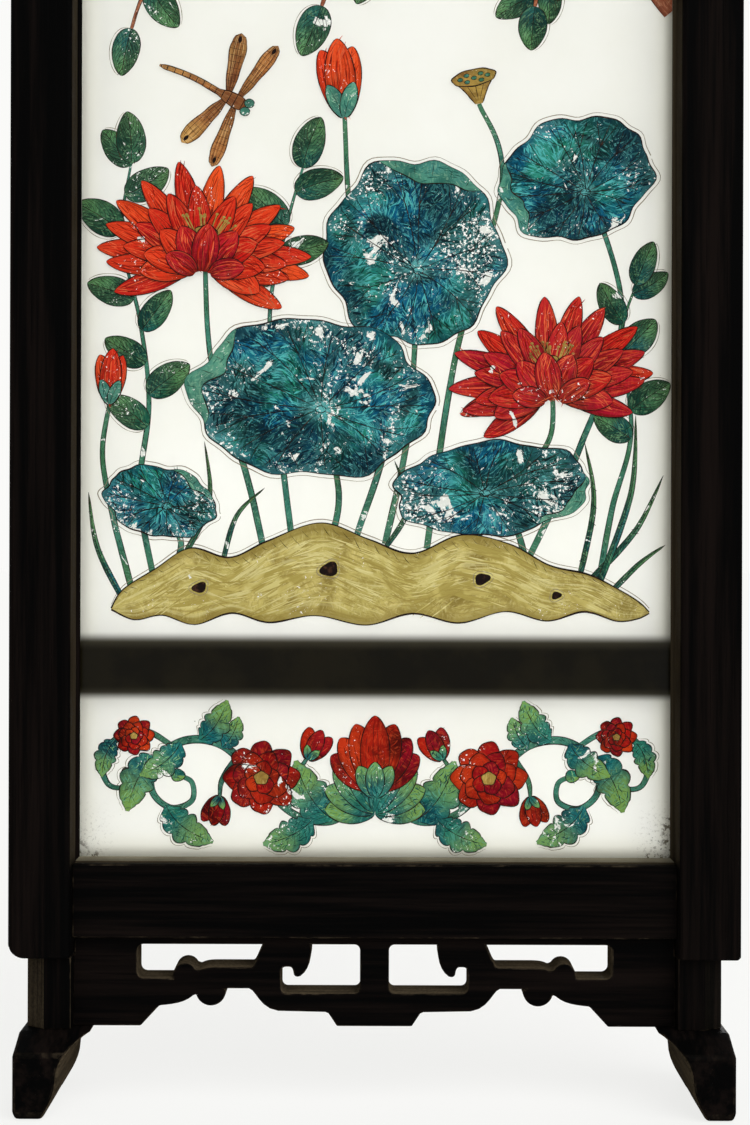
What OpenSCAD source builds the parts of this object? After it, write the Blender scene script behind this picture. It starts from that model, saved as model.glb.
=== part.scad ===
// Table screen: a framed pane of painted glass that drops onto a low stand.
// The stand is two shoe feet, two short legs and a pierced apron between them.
// The panel is a tenoned frame whose pane is held by beads in front and stops behind.
// Frame: +Z up, front towards -Y, origin on the table under the middle of the screen.

/* [Panel frame] */
// Width over the two stiles
panel_w = 310; // [300:1:360]
// Height of the top of the screen above the table
panel_top = 620; // [520:1:700]
// Width of a stile, seen from the front
stile_w = 26.2; // [24:0.1:32]
// Depth of a stile, front to back
stile_d = 36; // [34:1:44]
// Depth of the top and bottom rails
rail_d = 24; // [22:1:30]
// Height of the top rail
top_rail_h = 33; // [26:1:44]
// Height of the rail under the glass
bottom_rail_h = 31.4; // [30:0.1:44]
// How far the stiles run down past the bottom rail
horn_h = 7.7; // [6:0.1:12]
// Rounding of the stile's long edges
stile_r = 2; // [1:0.5:4]
// Wear on the lower left corner of the left stile
worn_r = 7; // [2:0.5:7]
// Rounding of the two upper corners and the lower right one
corner_r = 2; // [1:0.5:4]

/* [Cross rail] */
// Height of the rail behind the glass
cross_h = 24.8; // [18:0.2:34]
// Depth of the rail behind the glass
cross_d = 14; // [12:1:16]
// Gap between the sill of the bottom rail and the cross rail
cross_gap = 70.8; // [50:0.2:110]

/* [Glass] */
// Thickness of the pane
glass_t = 3; // [2:0.5:4]
// Distance from the middle plane of the frame to the front of the glass
glass_front = 1.5; // [1:0.5:5]
// Space left round the edge of the pane
glass_gap = 0.4; // [0.2:0.1:1]
// Width of the bead in front of the glass
bead_w = 1.5; // [1.2:0.1:4]
// Depth of the bead, front to back
bead_d = 2.5; // [2:0.5:6]
// Width of the stop behind the glass
stop_w = 4; // [4:0.5:10]
// Depth of the stop, front to back
stop_d = 6; // [5:0.5:12]

/* [Stand] */
// Height of the leg's shoulder, where the panel rests
shoulder_z = 64.3; // [62:0.1:72]
// Height of the middle of a foot
foot_h = 33.5; // [31:0.5:35]
// Length of a foot, front to back
foot_l = 61; // [56:1:90]
// Height of the toe's front edge
toe_h = 27.4; // [22:0.1:29]
// Width of the sole
sole_w = 10.6; // [8:0.2:14]
// Width of the foot at its top, where it reaches under the apron
foot_w = 31; // [28:0.5:36]
// Height of the arch under a foot
arch_h = 7; // [3:0.5:9]
// Width of the arch under a foot
arch_l = 28; // [20:1:34]
// How far the foot's outer face lies inside the stile's
foot_inset = 4.6; // [3:0.1:6]
// How far the leg's outer face lies inside the stile's
leg_inset = 6.8; // [6:0.1:9]
// Depth of a leg, front to back
leg_d = 28; // [24:1:34]
// Width of the bevel on the leg's outer edges
bevel_w = 8; // [3:0.5:10]
// Depth of that bevel
bevel_d = 5; // [2:0.5:6]

/* [Apron] */
// Thickness of the pierced board
apron_t = 16; // [12:1:20]
// Half the width of the lobe in the middle
lobe_half = 16; // [13:0.5:18]
// Width of the upright bar in the middle
bar_w = 12.4; // [8:0.2:16]
// Width of an inner window
inner_window_w = 33.9; // [32:0.1:36]
// Height of an inner window's floor
inner_floor_z = 47.5; // [46:0.5:49]
// Height of an outer window's floor
outer_floor_z = 53.8; // [52:0.2:55]
// Top of the bridge that crosses the outer window
bridge_z = 58.6; // [57:0.2:60]
// Underside of that bridge
recess_z = 49.6; // [48:0.2:51]
// Lower edge of the board under the inner windows
waist_z = 39.6; // [38:0.2:42]
// Distance of the scroll from the middle
scroll_x = 75.4; // [72:0.2:80]
// Radius of the scroll's lower head
lower_head_r = 6.5; // [5.5:0.1:7.4]
// Radius of the scroll's upper head
upper_head_r = 5; // [4:0.2:5.6]
// Width of the solid end of the board beside each leg
end_w = 27.1; // [24:0.1:32]
// Wood left above the windows
top_strip = 3.5; // [2.5:0.5:5]

/* [Joinery] */
// Space round a glued tenon
glue_gap = 0.1; // [0.05:0.05:0.2]
// Space round the tenons that the panel lifts off
lift_gap = 0.3; // [0.2:0.05:0.5]
// Space between the apron and the panel's bottom rail
seat_gap = 0.4; // [0.3:0.1:1]
// Length of the rail tenons
rail_tenon_l = 16; // [10:1:18]
// Thickness of the rail tenons
rail_tenon_t = 10; // [6:1:14]
// Length of the leg's upper tenon
lift_tenon_l = 15; // [10:1:16]
// Length of the leg's lower tenon
foot_tenon_l = 18; // [12:1:20]
// Width of the leg's tenons, across the screen
leg_tenon_w = 10; // [8:0.5:11]
// Depth of the leg's tenons, front to back
leg_tenon_d = 14; // [10:1:16]
// Length of the apron's and the cross rail's tenons
short_tenon_l = 8; // [5:0.5:9]
// Thickness of the apron's and the cross rail's tenons
short_tenon_t = 8; // [5:0.5:9]
// Height of the apron's tenons
apron_tenon_h = 16; // [12:0.5:18]
// Radius of the bamboo pins
pin_r = 1.5; // [1:0.1:2]
// Radius of the brads that hold the stops
brad_r = 0.7; // [0.5:0.1:0.9]

/* [Hidden] */

$fn = 32;
blackwood = [0.07, 0.05, 0.045];
bamboo = [0.45, 0.34, 0.2];
iron = [0.2, 0.17, 0.15];
white_glass = [0.93, 0.93, 0.89, 0.85];

half_w = panel_w / 2;
inner_x = half_w - stile_w;                  // inner face of stiles and legs
leg_outer_x = half_w - leg_inset;
foot_outer_x = half_w - foot_inset;
rail_under_z = shoulder_z + horn_h;          // underside of the bottom rail
sill_z = rail_under_z + bottom_rail_h;       // top of the bottom rail
head_z = panel_top - top_rail_h;             // underside of the top rail
cross_z = sill_z + cross_gap;                // underside of the cross rail
glass_back = -glass_front + glass_t;         // rear face of the pane
behind_glass = glass_back + 0.3;             // front of the stops and the cross rail
apron_top = rail_under_z - seat_gap;
window_top = apron_top - top_strip + seat_gap;
drop_z = foot_h + glue_gap;                  // lowest edges of the apron, on the feet

leg_mid_x = (inner_x + leg_outer_x) / 2;
rail_tenon_margin = 3;                       // shoulder above and below a rail tenon
rail_tenon_low = shoulder_z + lift_tenon_l + lift_gap + 3 * glue_gap + 3.5;
apron_tenon_z = 44;
apron_tenon_x = inner_x + short_tenon_l;
past_middle = 2;                             // how far a pin runs past the middle of its tenon
pin_l = stile_d / 2 + past_middle;           // length of a frame pin
pin_gap = 0.05;
pin_setback = 8;                             // from a joint's shoulder to its pin
leg_pin_setback = 4;
leg_pin_l = leg_d / 2 + past_middle;
foot_pin_l = foot_outer_x - leg_mid_x + past_middle;
cross_mid_y = behind_glass + cross_d / 2;
cross_pin_l = stile_d / 2 - cross_mid_y + past_middle;
brad_l = stop_w + 4;
brad_setback = 30;                           // from a stop's end to its first brad
brad_y = behind_glass + stop_d / 2;
brad_spread = 80;                            // between brads across the screen
through = 1;                                 // overshoot of a cut
tip = 1.5;                                   // bevel on the tip of a lift-off tenon

// Points of a cubic curve from a to d, without its first point.
function curve(a, b, c, d, n = 6) =
    [for (i = [1:n]) let (t = i / n)
        pow(1 - t, 3) * a + 3 * pow(1 - t, 2) * t * b + 3 * (1 - t) * t * t * c + pow(t, 3) * d];

// Points of an arc about c, from angle a0 to angle a1.
function arc(c, r, a0, a1, n = 5) =
    [for (i = [0:n]) let (a = a0 + (a1 - a0) * i / n) c + r * [cos(a), sin(a)]];

// Outline of a rectangle from low to high with round corners.
function round_box(low, high, r) = concat(
    arc([high[0] - r, high[1] - r], r, 0, 90),
    arc([low[0] + r, high[1] - r], r, 90, 180),
    arc([low[0] + r, low[1] + r], r, 180, 270),
    arc([high[0] - r, low[1] + r], r, 270, 360));

// The whole outline from its right half, which starts and ends on the middle line.
function both_sides(half) = concat(half, [for (i = [len(half) - 2:-1:1]) [-half[i][0], half[i][1]]]);

// A box between two corners.
module block(low, high) {
    translate(low) cube(high - low);
}

// A 2D shape in the XZ plane, from y0 back to y1.
module across(y0, y1) {
    translate([0, y1, 0]) rotate([90, 0, 0]) linear_extrude(y1 - y0) children();
}

// A 2D shape drawn as [y, z], from x0 to x1.
module along(x0, x1) {
    translate([x0, 0, 0]) rotate([90, 0, 90]) linear_extrude(x1 - x0) children();
}

// What rounding a convex corner at the origin takes away, for a piece that lies in +x +y.
module corner_waste(r) {
    difference() {
        translate([-through, -through]) square(r + through);
        translate([r, r]) circle(r);
    }
}

// A pin or brad from the origin along +Z, or with gap its hole, which starts outside the face.
module peg(l, r, gap = 0) {
    out = gap > 0 ? through : 0;
    translate([0, 0, -out]) cylinder(h = l + gap + out, r = r + gap);
}

// A pin, or with gap its hole, from a point on the rear face towards the front.
module rear_pin(x, y, z, l, gap = 0) {
    translate([x, y, z]) rotate([90, 0, 0]) peg(l, pin_r, gap);
}

// A pin, or with gap its hole, from the foot's outer face inwards.
module side_pin(gap = 0) {
    translate([foot_outer_x, 0, foot_h - foot_tenon_l / 2]) rotate([0, -90, 0])
        peg(foot_pin_l, pin_r, gap);
}

// The front view of a right foot: narrow sole, concave inner side, lip under the apron.
function foot_front() = let (
        sole_in = foot_outer_x - 1.5 - sole_w,
        knee = [foot_outer_x - 18.6, foot_h / 2],
        lip = [foot_outer_x - foot_w, foot_h]) concat(
    [[foot_outer_x, foot_h + through], [foot_outer_x, 2], [foot_outer_x - 1.5, 0], [sole_in, 0]],
    curve([sole_in, 0], [sole_in - 3, 5], [knee[0] + 0.2, knee[1] - 7], knee),
    curve(knee, [knee[0] - 0.2, knee[1] + 7], [lip[0] + 8, lip[1] - 3.3], lip, 8),
    [lip + [0, through]]);

// Half of the side view of a foot: arch, toe and a hollow slope up to the leg.
function foot_side() = let (toe = foot_l / 2, step = leg_d / 2 + 2) concat(
    [[0, arch_h]],
    curve([0, arch_h], [arch_l / 4, arch_h], [arch_l / 3, arch_h * 0.8], [arch_l / 2 - 2, 2], 6),
    [[arch_l / 2, 0], [toe - 1.5, 0], [toe, 2], [toe, toe_h]],
    curve([toe, toe_h], [toe - 4, toe_h + 1.4], [step + 4, foot_h - 1.8], [step, foot_h], 6),
    [[0, foot_h]]);

module right_foot() {
    color(blackwood) difference() {
        intersection() {
            across(-foot_l / 2, foot_l / 2) polygon(foot_front());
            along(foot_outer_x - foot_w - through, foot_outer_x + through)
                polygon(both_sides(foot_side()));
        }
        leg_tenon(foot_h - foot_tenon_l, foot_h + through, glue_gap);
        side_pin(pin_gap);
    }
}

// The square tenons at the two ends of a leg, or with gap the mortises for them.
module leg_tenon(z0, z1, gap = 0) {
    block([leg_mid_x - leg_tenon_w / 2 - gap, -leg_tenon_d / 2 - gap, z0 - gap],
          [leg_mid_x + leg_tenon_w / 2 + gap, leg_tenon_d / 2 + gap, z1]);
}

// Section of a leg, with both outer edges bevelled.
function leg_section() = [
    [inner_x, -leg_d / 2], [leg_outer_x - bevel_w, -leg_d / 2], [leg_outer_x, -leg_d / 2 + bevel_d],
    [leg_outer_x, leg_d / 2 - bevel_d], [leg_outer_x - bevel_w, leg_d / 2], [inner_x, leg_d / 2]];

module apron_tenon(gap = 0) {
    block([inner_x - through, -short_tenon_t / 2 - gap, apron_tenon_z - gap],
          [apron_tenon_x + gap, short_tenon_t / 2 + gap, apron_tenon_z + apron_tenon_h + gap]);
}

module apron_pin(gap = 0) {
    rear_pin(inner_x + leg_pin_setback, leg_d / 2, apron_tenon_z + apron_tenon_h / 2, leg_pin_l, gap);
}

module right_leg() {
    lift_top = shoulder_z + lift_tenon_l;
    color(blackwood) difference() {
        union() {
            translate([0, 0, foot_h]) linear_extrude(shoulder_z - foot_h) polygon(leg_section());
            leg_tenon(foot_h - foot_tenon_l, foot_h + through);
            leg_tenon(shoulder_z - through, lift_top - tip);
            intersection() {
                leg_tenon(shoulder_z, lift_top);
                across(-leg_tenon_d, leg_tenon_d) polygon([
                    [leg_mid_x - leg_tenon_w / 2, shoulder_z], [leg_mid_x + leg_tenon_w / 2, shoulder_z],
                    [leg_mid_x + leg_tenon_w / 2, lift_top - tip],
                    [leg_mid_x + leg_tenon_w / 2 - tip, lift_top],
                    [leg_mid_x - leg_tenon_w / 2 + tip, lift_top],
                    [leg_mid_x - leg_tenon_w / 2, lift_top - tip]]);
            }
        }
        apron_tenon(glue_gap);
        apron_pin(pin_gap);
        side_pin(pin_gap);
    }
}

// Half of the board's outer outline, from the middle of its top to the middle of its foot.
function apron_outline() = let (
        end_lobe_x = inner_x - end_w - 1.7,
        head = [scroll_x - 5.4, waist_z + 9.1],
        corner_x = scroll_x - 26.2) concat(
    [[0, apron_top], [inner_x - seat_gap, apron_top], [inner_x - seat_gap, shoulder_z],
     [inner_x, shoulder_z], [inner_x, drop_z], [end_lobe_x, drop_z],
     [end_lobe_x - 8, drop_z + 8.6]],
    curve([end_lobe_x - 8, drop_z + 8.6], [end_lobe_x - 14, drop_z + 9.2],
          [scroll_x + 6, waist_z + 3.6], [scroll_x + 2.2, waist_z + 6.9]),
    arc(head, lower_head_r, -14, -175, 12),
    [[head[0] - lower_head_r + 1.2, recess_z], [corner_x + 4.5, recess_z]],
    curve([corner_x + 4.5, recess_z], [corner_x + 1.5, recess_z - 0.6],
          [corner_x, waist_z + 1.4], [corner_x - 8, waist_z + 0.4]),
    [[lobe_half + 5, waist_z], [lobe_half + 3.6, waist_z - 0.6], [lobe_half, drop_z], [0, drop_z]]);

// The inner window, with the hook that curls down into it from its outer upper corner.
function inner_window() = let (
        x0 = bar_w / 2,
        x1 = x0 + inner_window_w,
        pocket = [x1 - 3.4, bridge_z + 0.3],
        hook_x = x1 - 12.4,
        r = 2.4) concat(
    arc([x1 - r, inner_floor_z + r], r, 0, -90),
    arc([x0 + r, inner_floor_z + r], r, -90, -180),
    arc([x0 + r, window_top - r], r, 180, 90),
    [[hook_x - 0.4, window_top]],
    curve([hook_x - 0.4, window_top], [hook_x - 1.2, window_top - 5],
          [hook_x + 0.2, bridge_z - 1.2], [hook_x + 4, bridge_z - 3.7]),
    curve([hook_x + 4, bridge_z - 3.7], [hook_x + 6.4, bridge_z - 4.6],
          [hook_x + 7, bridge_z - 3], [hook_x + 7, bridge_z - 1.8]),
    curve([hook_x + 7, bridge_z - 1.8], [hook_x + 7.4, bridge_z], [pocket[0] - 1, pocket[1]], pocket),
    arc([x1 - 2.2, bridge_z - 1.9], 2.2, 90, 0, 4));

// The outer window: a slanted inner wall, the bridge, a notch, the scroll's head and the floor.
function outer_window() = let (
        x1 = inner_x - end_w,
        slant_x = bar_w / 2 + inner_window_w + 7.5,
        head = [scroll_x + 5.8, outer_floor_z + 1.6],
        r = 2.8) concat(
    arc([x1 - r, outer_floor_z + r], r, 0, -90),
    [[head[0] + upper_head_r, outer_floor_z]],
    arc(head, upper_head_r, 0, 150, 10),
    [[scroll_x, bridge_z - 1.4]],
    curve([scroll_x, bridge_z - 1.4], [scroll_x - 2.2, bridge_z - 0.2],
          [scroll_x - 4, bridge_z], [scroll_x - 8, bridge_z]),
    [[slant_x + 4.6, bridge_z], [slant_x + 3.6, bridge_z + 1.6], [slant_x, window_top]],
    arc([x1 - r, window_top - r], r, 90, 0));

module apron_board() {
    difference() {
        polygon(both_sides(apron_outline()));
        for (side = [0, 1]) mirror([side, 0]) {
            polygon(inner_window());
            polygon(outer_window());
        }
    }
}

module apron() {
    color(blackwood) difference() {
        union() {
            across(-apron_t / 2, apron_t / 2) apron_board();
            apron_tenon();
            mirror([1, 0, 0]) apron_tenon();
        }
        apron_pin(pin_gap);
        mirror([1, 0, 0]) apron_pin(pin_gap);
    }
}

module stand_pins() {
    color(bamboo) for (side = [0, 1]) mirror([side, 0, 0]) {
        apron_pin();
        side_pin();
    }
}

// A rail tenon, or with gap its mortise, between two heights.
module rail_tenon(z0, z1, gap = 0) {
    block([inner_x - through, -rail_tenon_t / 2 - gap, z0 - gap],
          [inner_x + rail_tenon_l + gap, rail_tenon_t / 2 + gap, z1 + gap]);
}

module bottom_tenon(gap = 0) {
    rail_tenon(rail_tenon_low, sill_z - rail_tenon_margin, gap);
}

module top_tenon(gap = 0) {
    rail_tenon(head_z + rail_tenon_margin, panel_top - 3 * rail_tenon_margin, gap);
}

module cross_tenon(gap = 0) {
    block([inner_x - through, cross_mid_y - short_tenon_t / 2 - gap, cross_z + 2 - gap],
          [inner_x + short_tenon_l + gap, cross_mid_y + short_tenon_t / 2 + gap,
           cross_z + cross_h - 2 + gap]);
}

// The three pins that lock one stile, or with gap their holes.
module frame_pins(gap = 0) {
    x = inner_x + pin_setback;
    bottom_mid = (rail_tenon_low + sill_z - rail_tenon_margin) / 2;
    top_mid = (head_z + panel_top - 2 * rail_tenon_margin) / 2;
    for (z = [bottom_mid, top_mid]) rear_pin(x, stile_d / 2, z, pin_l, gap);
    rear_pin(inner_x + short_tenon_l / 2, stile_d / 2, cross_z + cross_h / 2, cross_pin_l, gap);
}

// A brad, or with gap its hole, that points along +Z.
module brad(gap = 0) {
    peg(brad_l, brad_r, gap, $fn = 16);
}

// The brads that fasten the right stops to their stile.
module side_brads(gap = 0) {
    upper_low = cross_z + cross_h + brad_setback;
    upper_high = head_z - stop_w - brad_setback;
    for (z = [(sill_z + stop_w + cross_z) / 2, upper_low, (upper_low + upper_high) / 2, upper_high])
        translate([inner_x - stop_w, brad_y, z]) rotate([0, 90, 0]) brad(gap);
}

// The brads that go down through the bottom stop.
module sill_brads(gap = 0) {
    for (x = [-brad_spread, 0, brad_spread])
        translate([x, brad_y, sill_z + stop_w]) rotate([180, 0, 0]) brad(gap);
}

// The brads that go up through the top stop.
module head_brads(gap = 0) {
    translate([0, 0, sill_z + head_z]) mirror([0, 0, 1]) sill_brads(gap);
}

// A right stile; worn is the rounding of its lower outer corner.
module stile(worn) {
    difference() {
        translate([0, 0, shoulder_z]) linear_extrude(panel_top - shoulder_z)
            polygon(round_box([inner_x, -stile_d / 2], [half_w, stile_d / 2], stile_r));
        across(-stile_d, stile_d) {
            translate([half_w, shoulder_z]) mirror([1, 0]) corner_waste(worn);
            translate([half_w, panel_top]) rotate(180) corner_waste(corner_r);
        }
        leg_tenon(shoulder_z - through, shoulder_z + lift_tenon_l + lift_gap, lift_gap);
        bottom_tenon(glue_gap);
        top_tenon(glue_gap);
        cross_tenon(glue_gap);
        frame_pins(pin_gap);
        side_brads(pin_gap);
    }
}

// A rail with a tenon at each end, which the children cut.
module rail(z0, z1) {
    block([-inner_x, -rail_d / 2, z0], [inner_x, rail_d / 2, z1]);
}

module bottom_rail() {
    color(blackwood) difference() {
        union() {
            rail(rail_under_z, sill_z);
            bottom_tenon();
            mirror([1, 0, 0]) bottom_tenon();
        }
        sill_brads(pin_gap);
        frame_pins(pin_gap);
        mirror([1, 0, 0]) frame_pins(pin_gap);
    }
}

module top_rail() {
    color(blackwood) difference() {
        union() {
            rail(head_z, panel_top);
            top_tenon();
            mirror([1, 0, 0]) top_tenon();
        }
        head_brads(pin_gap);
        frame_pins(pin_gap);
        mirror([1, 0, 0]) frame_pins(pin_gap);
    }
}

module rear_cross_rail() {
    color(blackwood) difference() {
        union() {
            block([-inner_x, behind_glass, cross_z], [inner_x, behind_glass + cross_d, cross_z + cross_h]);
            cross_tenon();
            mirror([1, 0, 0]) cross_tenon();
        }
        frame_pins(pin_gap);
        mirror([1, 0, 0]) frame_pins(pin_gap);
    }
}

module glass_pane() {
    color(white_glass) block([-inner_x + glass_gap, -glass_front, sill_z + glass_gap],
                             [inner_x - glass_gap, glass_back, head_z - glass_gap]);
}

// Section of a bead against a wall at x = 0, with its back at y = 0 and a round nose in front.
function bead_section() = concat(
    [[0, 0], [0, -bead_d]],
    arc([0, -bead_d + bead_w], bead_w, -90, 0, 6),
    [[bead_w, 0]]);

// A bead along the right wall, from z0 to z1, mitred at both ends.
module upright_bead(z0, z1, reach) {
    intersection() {
        translate([inner_x, -glass_front, z0]) linear_extrude(z1 - z0) mirror([1, 0]) polygon(bead_section());
        across(-stile_d, 0) polygon([[inner_x, z0], [inner_x, z1],
                                     [inner_x - reach, z1 - reach], [inner_x - reach, z0 + reach]]);
    }
}

// A bead on the floor of the opening, mitred at both ends; its section stands up from z0.
module level_bead(z0, reach) {
    intersection() {
        along(-inner_x, inner_x) translate([-glass_front, z0])
            polygon([for (p = bead_section()) [p[1], p[0]]]);
        across(-stile_d, 0) polygon([[-inner_x, z0], [inner_x, z0],
                                     [inner_x - reach, z0 + reach], [-inner_x + reach, z0 + reach]]);
    }
}

module bead_right() {
    color(blackwood) upright_bead(sill_z, head_z, bead_w);
}

module bead_left() {
    mirror([1, 0, 0]) bead_right();
}

module bead_bottom() {
    color(blackwood) level_bead(sill_z, bead_w);
}

module bead_top() {
    translate([0, 0, sill_z + head_z]) mirror([0, 0, 1]) bead_bottom();
}

// A stop behind the glass along the right stile, between two heights.
module side_stop(z0, z1) {
    color(blackwood) difference() {
        block([inner_x - stop_w, behind_glass, z0], [inner_x, behind_glass + stop_d, z1]);
        side_brads(pin_gap);
    }
}

module side_stop_lower() {
    side_stop(sill_z + stop_w, cross_z);
}

module side_stop_upper() {
    side_stop(cross_z + cross_h, head_z - stop_w);
}

module stop_bottom() {
    color(blackwood) difference() {
        block([-inner_x, behind_glass, sill_z], [inner_x, behind_glass + stop_d, sill_z + stop_w]);
        sill_brads(pin_gap);
    }
}

module stop_top() {
    translate([0, 0, sill_z + head_z]) mirror([0, 0, 1]) stop_bottom();
}

module stop_brads() {
    color(iron) union() {
        for (side = [0, 1]) mirror([side, 0, 0]) side_brads();
        sill_brads();
        head_brads();
    }
}

module panel_pins() {
    color(bamboo) for (side = [0, 1]) mirror([side, 0, 0]) frame_pins();
}

mirror([1, 0, 0]) right_foot();  // left_foot
right_foot();
mirror([1, 0, 0]) right_leg();  // left_leg
right_leg();
apron();
stand_pins();
color(blackwood) mirror([1, 0, 0]) stile(worn_r);  // left_stile
color(blackwood) stile(corner_r);  // right_stile
top_rail();
bottom_rail();
rear_cross_rail();
glass_pane();
bead_left();
bead_right();
bead_top();
bead_bottom();
mirror([1, 0, 0]) side_stop_upper();  // rear_stop_left_upper
mirror([1, 0, 0]) side_stop_lower();  // rear_stop_left_lower
side_stop_upper();  // rear_stop_right_upper
side_stop_lower();  // rear_stop_right_lower
stop_top();  // rear_stop_top
stop_bottom();  // rear_stop_bottom
stop_brads();
panel_pins();
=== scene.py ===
import math
import random
import bpy
import bmesh
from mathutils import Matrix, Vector


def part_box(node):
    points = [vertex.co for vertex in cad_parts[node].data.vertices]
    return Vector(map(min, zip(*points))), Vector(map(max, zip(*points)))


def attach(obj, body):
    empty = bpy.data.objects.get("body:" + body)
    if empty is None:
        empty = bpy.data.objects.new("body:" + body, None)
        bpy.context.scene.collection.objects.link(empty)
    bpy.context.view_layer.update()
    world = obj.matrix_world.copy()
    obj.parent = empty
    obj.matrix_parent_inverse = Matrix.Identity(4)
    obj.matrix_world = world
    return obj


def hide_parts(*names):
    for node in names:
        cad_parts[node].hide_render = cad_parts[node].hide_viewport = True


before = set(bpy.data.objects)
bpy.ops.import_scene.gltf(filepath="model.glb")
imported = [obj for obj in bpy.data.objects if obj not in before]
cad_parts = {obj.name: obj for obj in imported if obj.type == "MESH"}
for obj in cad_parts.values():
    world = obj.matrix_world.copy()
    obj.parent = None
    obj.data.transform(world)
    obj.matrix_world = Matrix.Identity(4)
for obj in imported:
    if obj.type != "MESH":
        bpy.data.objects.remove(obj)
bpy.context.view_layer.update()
mm = 0.001
print("frame loaded:", len(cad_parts), "nodes")

tree = None    # the node tree in work, which put() adds to


def srgb(red, green, blue):
    # a colour picked on screen, 0 to 255, as the linear values a shader wants
    line = []
    for value in (red, green, blue):
        value /= 255
        line.append(value / 12.92 if value <= 0.04045 else ((value + 0.055) / 1.055) ** 2.4)
    return (*line, 1.0)


def put(kind, inputs=None, **props):
    made = tree.nodes.new(kind)
    for name, value in props.items():
        setattr(made, name, value)
    for name, value in (inputs or {}).items():
        if isinstance(value, bpy.types.NodeSocket):
            tree.links.new(value, made.inputs[name])
        else:
            made.inputs[name].default_value = value
    return made


def wired(kind, inputs=None, **props):
    return put(kind, inputs, **props).outputs[0]


def maths(operation, *values, clamp=False):
    return wired("ShaderNodeMath", dict(enumerate(values)), operation=operation, use_clamp=clamp)


def times(a, b):
    return maths("MULTIPLY", a, b)


def plus(a, b):
    return maths("ADD", a, b)


def most(a, b):
    return maths("MAXIMUM", a, b)


def blend(amount, under, over, mode="MIX"):
    # each colour is a socket, or a screen colour from 0 to 255
    under, over = (srgb(*tone) if isinstance(tone, tuple) else tone for tone in (under, over))
    return put("ShaderNodeMix", {0: amount, 6: under, 7: over}, data_type="RGBA", blend_type=mode).outputs[2]


def spread(value, low, high, toLow=0.0, toHigh=1.0):
    # a smooth step from low to high
    return wired("ShaderNodeMapRange", {"Value": value, 1: low, 2: high, 3: toLow, 4: toHigh},
                 interpolation_type="SMOOTHSTEP")


def noise(where, scale, detail=4.0, rough=0.55, twist=0.0):
    return wired("ShaderNodeTexNoise", {"Vector": where, "Scale": scale, "Detail": detail,
                                        "Roughness": rough, "Distortion": twist})


def stretched(where, scale):
    return wired("ShaderNodeMapping", {"Vector": where, "Scale": scale})


def bump(height, strength, depth):
    return wired("ShaderNodeBump", {"Height": height, "Strength": strength, "Distance": depth})


def attribute(name):
    return put("ShaderNodeAttribute", attribute_name=name).outputs["Fac"]


def coat(colour, roughness, gloss=0.5, relief=None, metal=0.0):
    made = put("ShaderNodeBsdfPrincipled", {"Base Color": colour, "Roughness": roughness,
                                            "Specular IOR Level": gloss, "Metallic": metal})
    if relief is not None:
        tree.links.new(relief, made.inputs["Normal"])
    return made.outputs[0]


def mixed(amount, under, over):
    return wired("ShaderNodeMixShader", {0: amount, 1: under, 2: over})


def newMaterial(name):
    global tree
    material = bpy.data.materials.new(name)
    material.use_nodes = True
    tree = material.node_tree
    tree.nodes.clear()
    return material, put("ShaderNodeTexCoord").outputs["Object"]


def finished(material, shader):
    tree.links.new(shader, put("ShaderNodeOutputMaterial").inputs[0])
    return material


def newObject(name, mesh):
    made = bpy.data.objects.new(name, mesh)
    bpy.context.scene.collection.objects.link(made)
    return made


# blackwood, for stiles, rails, legs, feet and apron
wood = {
    "darkest": (4, 4, 4),
    "streak": (19, 14, 12),
    "worn": (96, 84, 66),
    "raw": (84, 74, 57),
    "dust": (150, 145, 124),
    "pore": (5, 4, 4),
    "roughness": (0.42, 0.62),
    "specular": 0.01,
    "grainAcross": 420,
    "grainAlong": 14,
}


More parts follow.
